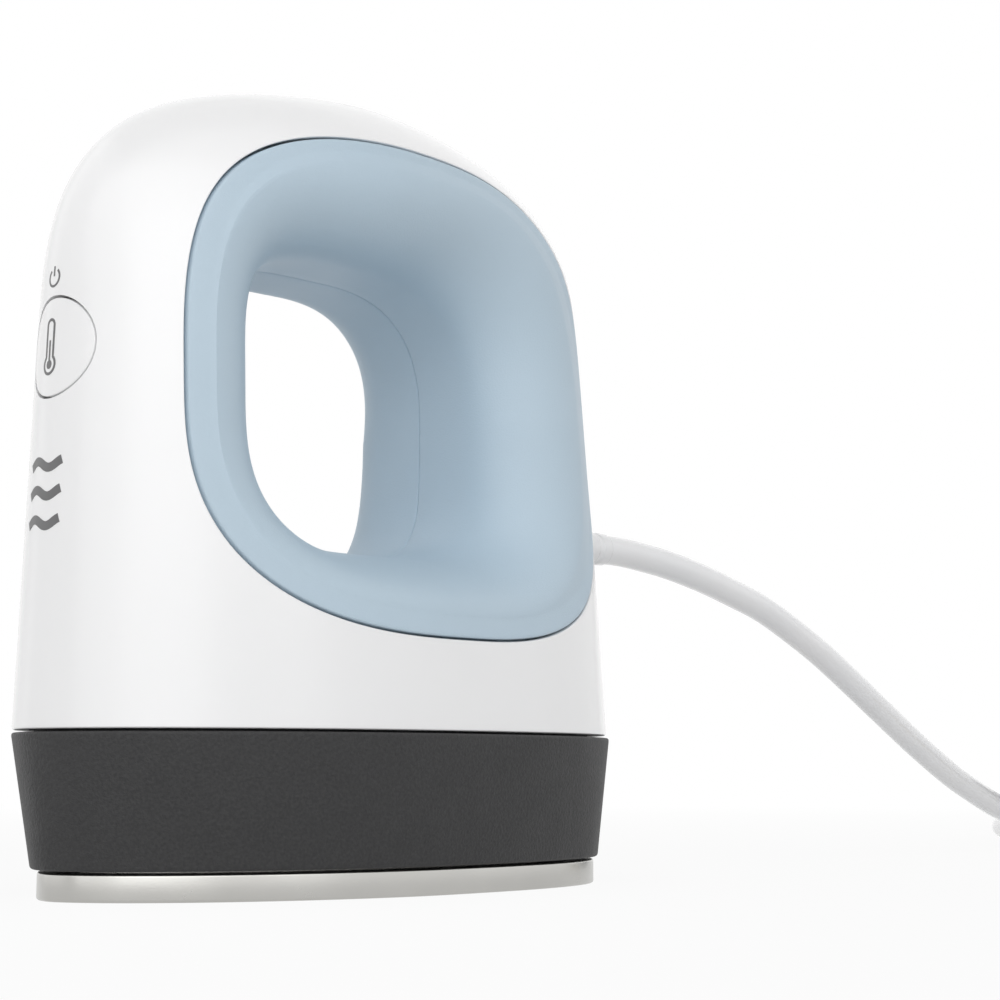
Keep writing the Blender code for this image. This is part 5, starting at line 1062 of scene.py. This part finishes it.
def housing_form():
    """The housing's outer and inner skins, joined round both windows and along the base."""
    form = bmesh.new()
    outer = shell_patch(0, SHELL_BASE + SHELL_EDGE_ROUND, SHELL_EDGE_ROUND, PATCH_STEPS)
    inner = shell_patch(SHELL_WALL, SHELL_BASE, 0, PATCH_STEPS // 4)
    columns = []
    for index, (outside, inside) in enumerate(zip(outer, inner)):
        angle = math.tau * index / AROUND
        edge = []
        for outset, sink in edge_steps(SHELL_EDGE_ROUND, range(EDGE_STEPS)):
            y, z = oval_point(WINDOW, angle, outset)
            edge.append(Vector((shell_side(y, z) - sink, y, z)))
        columns.append(inside[::-1] + edge + outside)
    for side in (1, -1):
        rings = [[form.verts.new((side * point.x, point.y, point.z)) for point in column]
                 for column in columns]
        for one, other in zip(rings, rings[1:] + rings[:1]):
            for low, high, high_other, low_other in zip(one, one[1:], other[1:], other):
                widths = (low.co - low_other.co).length, (high.co - high_other.co).length
                if max(widths) > TOUCHING:
                    form.faces.new((low, high, high_other, low_other))
    bmesh.ops.remove_doubles(form, verts=form.verts, dist=TOUCHING)
    bmesh.ops.recalc_face_normals(form, faces=form.faces)
    round_base(form)
    return finish_mesh("housing", form)


def round_base(form):
    """Round the outer skin's lower edge under, and close the base between the two skins."""
    rim = [edge for edge in form.edges if edge.is_boundary]
    between = SHELL_BASE + SHELL_EDGE_ROUND / 2
    outer = [edge for edge in rim if min(vert.co.z for vert in edge.verts) > between]
    inner = [edge for edge in rim if edge not in set(outer)]
    egg = shell_egg(SHELL_BASE, 0)
    for step in range(EDGE_STEPS):
        before, after = (math.pi / 2 * share / EDGE_STEPS for share in (step, step + 1))
        made = bmesh.ops.extrude_edge_only(form, edges=outer)["geom"]
        for vert in (item for item in made if isinstance(item, bmesh.types.BMVert)):
            slope = fullness_change(egg, *vert.co.xy, FINE_PROBE).normalized()
            inward = SHELL_EDGE_ROUND * (math.cos(before) - math.cos(after))
            vert.co.x -= slope.x * inward
            vert.co.y -= slope.y * inward
            vert.co.z -= SHELL_EDGE_ROUND * (math.sin(after) - math.sin(before))
        outer = [item for item in made if isinstance(item, bmesh.types.BMEdge)]
    bmesh.ops.bridge_loops(form, edges=outer + inner)


def make_housing(materials):
    housing = place_mesh("housing", housing_form(), materials["gloss_white"])
    front, rear = shell_front(0, BUTTON_LEVEL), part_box("strain_relief")[0].y
    button_hole, cord_hole = BUTTON_RADIUS + GAP, RELIEF_NECK_RADIUS + GAP
    holes = [turned("button_hole", [(button_hole, 0), (button_hole, 2 * HOLE_REACH)],
                    Vector((0, front - HOLE_REACH, BUTTON_LEVEL)), REARWARD, 2 * ROUND_SIDES),
             turned("cord_hole", [(cord_hole, 0), (cord_hole, 4 * HOLE_REACH)],
                    Vector((0, rear, CORD_LEVEL)), REARWARD)]
    mesh = cut_out(housing, holes)
    shade("housing", mesh)
    shade_like_housing(mesh)
    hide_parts("housing_shell")


# Grip liners

def seat(angle, outset, wall, sink):
    """A point on the housing's side, set out from the window's outline and sunk below its face."""
    y, z = oval_point(WINDOW, angle, outset)
    return Vector((shell_side(y, z, wall) - sink, y, z))


def flare_curve(shoulder, angle):
    """The four guide points of the flare, from its shoulder to where the straight throat begins."""
    throat = Vector((GAP / 2 + shoulder.x * around(STRAIGHT_SHARES, angle), *oval_point(THROAT, angle, 0)))
    inward = Vector((0, throat.y - shoulder.y, throat.z - shoulder.z))
    outward = Vector((inward.length * around(ROLL_SLOPES, angle), 0, 0))
    first = shoulder + (inward + outward) * around(SHOULDER_SHARES, angle)
    second = throat + Vector(((shoulder.x - throat.x) * around(ROUNDNESS_SHARES, angle), 0, 0))
    return shoulder, first, second, throat


def on_curve(guides, share):
    """A point of the curve, and the way the flare's face looks there."""
    one, two, three, four = guides
    left = 1 - share
    point = one * left ** 3 + two * 3 * left ** 2 * share + three * 3 * left * share ** 2 + four * share ** 3
    ahead = (two - one) * left ** 2 + (three - two) * 2 * left * share + (four - three) * share ** 2
    inward = Vector((0, four.y - one.y, four.z - one.z)).normalized()
    facing = Vector((ahead.dot(inward), 0, 0)) - inward * ahead.x
    return point, facing.normalized()


def liner_station(angle):
    """The closed outline of a liner's section at an angle round the grip, beginning at its rim."""
    lip, roll = GAP + around(LIP_WIDTHS, angle), around(ROLL_WIDTHS, angle)
    deep = LINER_SEAT_CLEARANCE + LINER_FLANGE_THICKNESS
    rounding = LINER_EDGE_ROUND
    outline = [seat(angle, -GAP - inset, 0, sink)
               for inset, sink in edge_steps(rounding, range(EDGE_STEPS + 1))]
    for step in range(1, LIP_STEPS + 1):
        share = step / LIP_STEPS
        outline.append(seat(angle, blend(-GAP - rounding, -lip, share), 0, LIP_SINK * share))
    for step in range(1, ROLL_STEPS + 1):
        outline.append(seat(angle, -lip - roll * step / ROLL_STEPS, 0, LIP_SINK))
    guides = flare_curve(outline[-1], angle)
    face = [on_curve(guides, step / FLARE_STEPS) for step in range(FLARE_STEPS + 1)]
    outline += [point for point, _ in face[1:]]
    throat_x, seam_x = outline[-1].x, SEAM_GAP / 2
    y, z = oval_point(THROAT, angle, 0)
    outline += [Vector((blend(throat_x, seam_x + rounding, step / THROAT_STEPS), y, z))
                for step in range(1, THROAT_STEPS + 1)]
    for outset, off_seam in edge_steps(rounding, range(1, EDGE_STEPS + 1)):
        outline.append(Vector((seam_x + off_seam, *oval_point(THROAT, angle, outset))))
    outline.append(Vector((seam_x, *oval_point(THROAT, angle, LINER_WALL))))
    outline += [point - facing * LINER_WALL for point, facing in face[::-BACK_STRIDE]]
    outline += [seat(angle, -lip, SHELL_WALL, deep), seat(angle, LINER_FLANGE_WIDTH, SHELL_WALL, deep),
                seat(angle, LINER_FLANGE_WIDTH, SHELL_WALL, LINER_SEAT_CLEARANCE),
                seat(angle, -GAP, SHELL_WALL, LINER_SEAT_CLEARANCE)]
    return outline


def make_liners(materials):
    """The left and right liners, which meet at a fine seam in the middle of the grip."""
    stations = [liner_station(math.tau * step / AROUND) for step in range(AROUND)]
    for name, side in (("right_liner", 1), ("left_liner", -1)):
        loops = [[Vector((side * point.x, point.y, point.z)) for point in station] for station in stations]
        liner = place_mesh(name, hoop(name, loops), materials["liner_blue"])
        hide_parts(name.replace("liner", "grip_liner"))


# Skirt, plate, button and strain relief

def ringed(profile, outline_at):
    """Loops of an egg-shaped ring from its section: (inward, level) pairs."""
    return [egg_loop(grown(outline_at(level), -inward), level) for inward, level in profile]


def make_skirt(materials):
    """The dark skirt: a leaning wall with soft edges, a lip below, a shelf inside and an upstand."""
    shelf_bottom = SHELF_TOP - SHELF_THICKNESS
    lip_top = SKIRT_BOTTOM + SKIRT_LIP_THICKNESS
    upstand_outside = SHELL_LEDGE + SHELL_WALL + GAP
    upstand_inside = upstand_outside + UPSTAND_WALL
    foot = Vector((0, SKIRT_BOTTOM))
    head = Vector((0, SKIRT_TOP))
    profile = rounded_corner(Vector((SKIRT_WALL, SKIRT_BOTTOM)), foot, head, SKIRT_EDGE_ROUND)
    profile += rounded_corner(foot, head, Vector((SKIRT_WALL, SKIRT_TOP)), SKIRT_EDGE_ROUND)
    loops = ringed([tuple(point) for point in profile], skirt_egg)
    top = skirt_egg(SKIRT_TOP)
    loops += [egg_loop(grown(top, -upstand_outside), SKIRT_TOP),
              egg_loop(grown(top, -upstand_outside), SKIRT_TOP + UPSTAND_HEIGHT),
              egg_loop(grown(top, -upstand_inside), SKIRT_TOP + UPSTAND_HEIGHT)]
    shelf_inside = SKIRT_WALL + SHELF_WIDTH
    lip_inside = SKIRT_WALL + SKIRT_LIP_WIDTH
    loops += ringed([(SKIRT_WALL, SHELF_TOP), (shelf_inside, SHELF_TOP), (shelf_inside, shelf_bottom),
                     (SKIRT_WALL, shelf_bottom), (SKIRT_WALL, lip_top), (lip_inside, lip_top),
                     (lip_inside, SKIRT_BOTTOM)], skirt_egg)
    skirt = place_mesh("skirt", hoop("skirt", loops), materials["skirt_grained"])
    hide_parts("base_skirt")


def make_plate(materials):
    """The cast plate: a flat sole with a soft edge, a satin rim and the block for the element."""
    sole, side, rim = Vector((SOLE_ROUND * 3, 0)), Vector((0, 0)), Vector((0, PLATE_EDGE))
    profile = rounded_corner(sole, side, rim, SOLE_ROUND)
    profile += rounded_corner(side, rim, Vector((BLOCK_INSET, PLATE_EDGE)), PLATE_RIM_ROUND)
    profile += [Vector((BLOCK_INSET, PLATE_EDGE)), Vector((BLOCK_INSET, BLOCK_TOP - BLOCK_CHAMFER)),
                Vector((BLOCK_INSET + BLOCK_CHAMFER, BLOCK_TOP))]
    loops = ringed([tuple(point) for point in profile], lambda _: PLATE)
    plate = place_mesh("plate", loft("plate", loops), materials["plate_satin"])
    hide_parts("heat_plate")


def make_button(materials):
    """The round button: its face follows the housing's front, with a fine rounded edge."""
    def ring(radius, depth, inset=0):
        loop = [(x, BUTTON_LEVEL + z) for x, z in circle(radius, 2 * ROUND_SIDES)]
        return [Vector((x, shell_front(x, z, inset) + depth, z)) for x, z in loop]

    face_radius = BUTTON_RADIUS - BUTTON_EDGE_ROUND
    flange = BUTTON_RADIUS + BUTTON_FLANGE_WIDTH
    flange_rear = GAP + BUTTON_FLANGE_THICKNESS
    stem_end = shell_front(0, BUTTON_LEVEL) + SHELL_WALL + flange_rear + BUTTON_STEM_LENGTH
    stem = [Vector((point.x, stem_end, point.z)) for point in ring(BUTTON_STEM_RADIUS, 0)]
    loops = [ring(face_radius * (step + 1) / FACE_RINGS, 0) for step in range(FACE_RINGS)]
    for depth, inset in edge_steps(BUTTON_EDGE_ROUND, range(1, EDGE_STEPS + 1)):
        loops.append(ring(BUTTON_RADIUS - inset, depth))
    loops += [ring(BUTTON_RADIUS, GAP, SHELL_WALL), ring(flange, GAP, SHELL_WALL),
              ring(flange, flange_rear, SHELL_WALL), ring(BUTTON_STEM_RADIUS, flange_rear, SHELL_WALL),
              stem]
    middle = Vector((0, shell_front(0, BUTTON_LEVEL), BUTTON_LEVEL))
    mesh = loft("button", loops, start=middle)
    button = place_mesh("button", mesh, materials["gloss_white"], body="button")
    shade_like_housing(mesh)
    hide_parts("button_cap")


def make_relief(materials):
    """The moulded strain relief, with softly edged ribs down its taper."""
    tail_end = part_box("strain_relief")[0].y
    inside, outside = shell_egg(CORD_LEVEL, SHELL_WALL).rear, shell_egg(CORD_LEVEL, 0).rear
    collar_back = inside - RELIEF_COLLAR_CLEARANCE - tail_end
    collar = collar_back - RELIEF_COLLAR_THICKNESS
    start = outside + GAP - tail_end
    profile = [(RELIEF_TAIL_RADIUS, 0), (RELIEF_TAIL_RADIUS, collar),
               (RELIEF_COLLAR_RADIUS, collar), (RELIEF_COLLAR_RADIUS, collar_back),
               (RELIEF_NECK_RADIUS, collar_back), (RELIEF_NECK_RADIUS, start)]
    pitch = RELIEF_LENGTH / (RELIEF_RIBS + 1)
    for step in range(RELIEF_STEPS + 1):
        along = RELIEF_LENGTH * step / RELIEF_STEPS
        radius = blend(RELIEF_TIP_RADIUS, RELIEF_ROOT_RADIUS, (1 - along / RELIEF_LENGTH) ** 2)
        from_rib = abs((along / pitch) - round(along / pitch))
        in_groove = 0 < round(along / pitch) <= RELIEF_RIBS
        radius -= RELIEF_GROOVE * (1 - smooth_step((from_rib - RIB_FLAT_SHARE) / RIB_SLOPE_SHARE)) * in_groove
        at_end = max(0, 1 - min(along, RELIEF_LENGTH - along) / RELIEF_EDGE_ROUND)
        radius -= RELIEF_EDGE_ROUND * (1 - math.sqrt(max(0, 1 - at_end * at_end)))
        profile.append((radius, start + along))
    mesh = turned("relief", profile, Vector((0, tail_end, CORD_LEVEL)), REARWARD)
    relief = place_mesh("relief", mesh, materials["cord_white"])
    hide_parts("strain_relief")


# Marks on the front

def stroke(form, points, width, closed=False):
    """A thin inlay along a line of (x, z) points on the housing's front."""
    line = [Vector(point) for point in points]
    count = len(line)
    sections = []
    for index, point in enumerate(line):
        before = line[index - 1] if index or closed else line[0]
        after = line[(index + 1) % count] if index < count - 1 or closed else line[-1]
        ahead = (after - before).normalized()
        side = Vector((-ahead.y, ahead.x)) * width / 2
        section = []
        for shift, depth in ((side, -MARK_PROUD), (-side, -MARK_PROUD), (-side, MARK_DEPTH),
                             (side, MARK_DEPTH)):
            x, z = point + shift
            x += MARK_SHIFT
            section.append(form.verts.new((x, shell_front(x, z) + depth, z)))
        sections.append(section)
    for one, other in zip(sections, sections[1:]):
        bridge(form, one, other)
    if closed:
        bridge(form, sections[-1], sections[0])
    else:
        form.faces.new(sections[0])
        form.faces.new(sections[-1])


def spot(form, middle, radius, sides=32, rings=4):
    """A thin round inlay on the housing's front."""
    loops = []
    for depth, reaches in ((-MARK_PROUD, range(1, rings + 1)), (MARK_DEPTH, range(rings, 0, -1))):
        for reach in reaches:
            loop = []
            for across, up in circle(radius * reach / rings, sides):
                x, z = middle[0] + MARK_SHIFT + across, middle[1] + up
                loop.append(form.verts.new((x, shell_front(x, z) + depth, z)))
            loops.append(loop)
    for one, other in zip(loops, loops[1:]):
        bridge(form, one, other)
    form.faces.new(loops[0])
    form.faces.new(loops[-1])


def make_waves(materials):
    """Three wavy heat marks, one over another."""
    for index, level in enumerate(WAVE_LEVELS, 1):
        form = bmesh.new()
        points = []
        for step in range(MARK_STEPS + 1):
            x = blend(*WAVE_REACHES, step / MARK_STEPS)
            points.append((x, level + WAVE_RISE * math.cos(math.pi * (x - WAVE_CREST) / WAVE_HALF_LENGTH)))
        stroke(form, points, WAVE_THICKNESS)
        place_mesh("heat_mark_%d" % index, finish_mesh("heat_mark", form), materials["mark_grey"])


def arc(middle, radius, start, end, steps=SIGN_STEPS):
    """Points of an arc round a middle."""
    return [(middle[0] + radius * math.cos(blend(start, end, step / steps)),
             middle[1] + radius * math.sin(blend(start, end, step / steps))) for step in range(steps + 1)]


def make_power_mark(materials):
    """The round standby sign, open at the top, with an upright bar."""
    form = bmesh.new()
    stroke(form, arc((0, POWER_LEVEL), POWER_RADIUS, math.pi / 2 + POWER_OPEN_ANGLE,
                     math.pi / 2 + math.tau - POWER_OPEN_ANGLE), POWER_LINE)
    stroke(form, [(0, POWER_LEVEL + POWER_RADIUS * share) for share in POWER_BAR_SHARES], POWER_LINE)
    place_mesh("power_mark", finish_mesh("power_mark", form), materials["mark_grey"])


def make_thermometer(materials):
    """The thermometer sign on the button: an outline with a bulb, and the column inside."""
    form = bmesh.new()
    stem, bulb = THERMOMETER_STEM_RADIUS, THERMOMETER_BULB_RADIUS
    low = THERMOMETER_BOTTOM + bulb
    high = THERMOMETER_TOP - stem
    neck = math.asin(stem / bulb)
    outline = arc((0, high), stem, 0, math.pi, 24)
    outline += arc((0, low), bulb, math.pi / 2 + neck, math.tau + math.pi / 2 - neck, 44)
    stroke(form, outline, THERMOMETER_LINE, closed=True)
    column_top = blend(low, high, MERCURY_SHARE)
    stroke(form, [(0, blend(low, column_top, step / 8)) for step in range(9)], MERCURY_WIDTH)
    spot(form, (0, low), bulb * MERCURY_BALL_SHARE)
    place_mesh("temperature_mark", finish_mesh("temperature_mark", form), materials["mark_grey"],
               body="button")


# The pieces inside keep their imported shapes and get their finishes

OTHER_NAMES = {"white_gloss": "gloss_white", "liner_blue": "liner_blue", "skirt_plastic": "skirt_grained",
               "plate_metal": "plate_satin", "tie_black": "tie_weave"}


def dress_nodes(materials):
    for name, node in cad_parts.items():
        slot = node.data.materials[0].name.split(".")[0]
        material = materials[OTHER_NAMES.get(slot, slot)]
        if name.startswith("plug_blade"):
            material = materials["blade_brass"]
        for holder in node.material_slots:
            holder.material = material


# Floor, background and light

def seen_rays(tree):
    """One where the eye sees a surface straight, in a reflection or through glass."""
    path = add_node(tree, "LightPath").outputs
    seen = calculate(tree, "MAXIMUM", path["Is Camera Ray"], path["Is Glossy Ray"])
    return calculate(tree, "MAXIMUM", seen, path["Is Transmission Ray"])


def make_floor():
    form = bmesh.new()
    bmesh.ops.create_grid(form, x_segments=1, y_segments=1, size=FLOOR_HALF_WIDTH)
    mesh = finish_mesh("floor", form)
    floor = add_thing("floor", mesh)
    material = bpy.data.materials.new("floor")
    material.use_nodes = True
    tree = material.node_tree
    shader = tree.nodes["Principled BSDF"]
    shader.inputs["Base Color"].default_value = (FLOOR_TONE, FLOOR_TONE, FLOOR_TONE, 1)
    shader.inputs["Roughness"].default_value = FLOOR_ROUGHNESS
    shader.inputs["Specular IOR Level"].default_value = 0.0
    glow = add_node(tree, "Emission", {"Color": (1, 1, 1, 1), "Strength": 1.0})
    place = add_node(tree, "TexCoord").outputs["Object"]
    away = add_node(tree, "VectorMath", None, {0: place}, operation="LENGTH").outputs["Value"]
    bright = add_node(tree, "MapRange", {"From Min": SHADOW_NEAR, "From Max": SHADOW_FAR,
                                         "To Min": 1 - SHADOW_SHARE, "To Max": 1.0}, {"Value": away})
    share = calculate(tree, "MULTIPLY", seen_rays(tree), bright.outputs["Result"])
    mix = add_node(tree, "MixShader", None, {0: share, 1: shader.outputs["BSDF"],
                                             2: glow.outputs["Emission"]})
    tree.links.new(mix.outputs["Shader"], tree.nodes["Material Output"].inputs["Surface"])
    mesh.materials.append(material)


def make_world():
    world = bpy.data.worlds.new("studio")
    bpy.context.scene.world = world
    world.use_nodes = True
    tree = world.node_tree
    background = tree.nodes["Background"]
    level = add_node(tree, "MapRange", {"To Min": AMBIENT, "To Max": 1.0}, {"Value": seen_rays(tree)})
    background.inputs["Color"].default_value = (1, 1, 1, 1)
    tree.links.new(level.outputs["Result"], background.inputs["Strength"])


def soft_lamp(name, azimuth, elevation, power):
    """A soft square panel that looks at the middle of the body."""
    lamp = bpy.data.lights.new(name, "AREA")
    lamp.size = LAMP_SIZE
    lamp.energy = power
    thing = add_thing(name, lamp)
    across, up = math.radians(azimuth), math.radians(elevation)
    away = Vector((math.sin(across) * math.cos(up), -math.cos(across) * math.cos(up), math.sin(up)))
    thing.location = Vector((0, 0, BODY_HEIGHT / 2)) + away * LAMP_DISTANCE
    thing.rotation_mode = "QUATERNION"
    thing.rotation_quaternion = (-away).to_track_quat("-Z", "Y")


def make_light():
    for name, (azimuth, elevation, power) in LAMPS.items():
        soft_lamp(name, azimuth, elevation, power)


make_camera()
MATERIALS = all_materials()
make_cord_set(MATERIALS)
make_housing(MATERIALS)
make_liners(MATERIALS)
make_skirt(MATERIALS)
make_plate(MATERIALS)
make_button(MATERIALS)
make_relief(MATERIALS)
make_waves(MATERIALS)
make_power_mark(MATERIALS)
make_thermometer(MATERIALS)
dress_nodes(MATERIALS)
make_floor()
make_world()
make_light()
bpy.context.scene.view_settings.view_transform = "Standard"
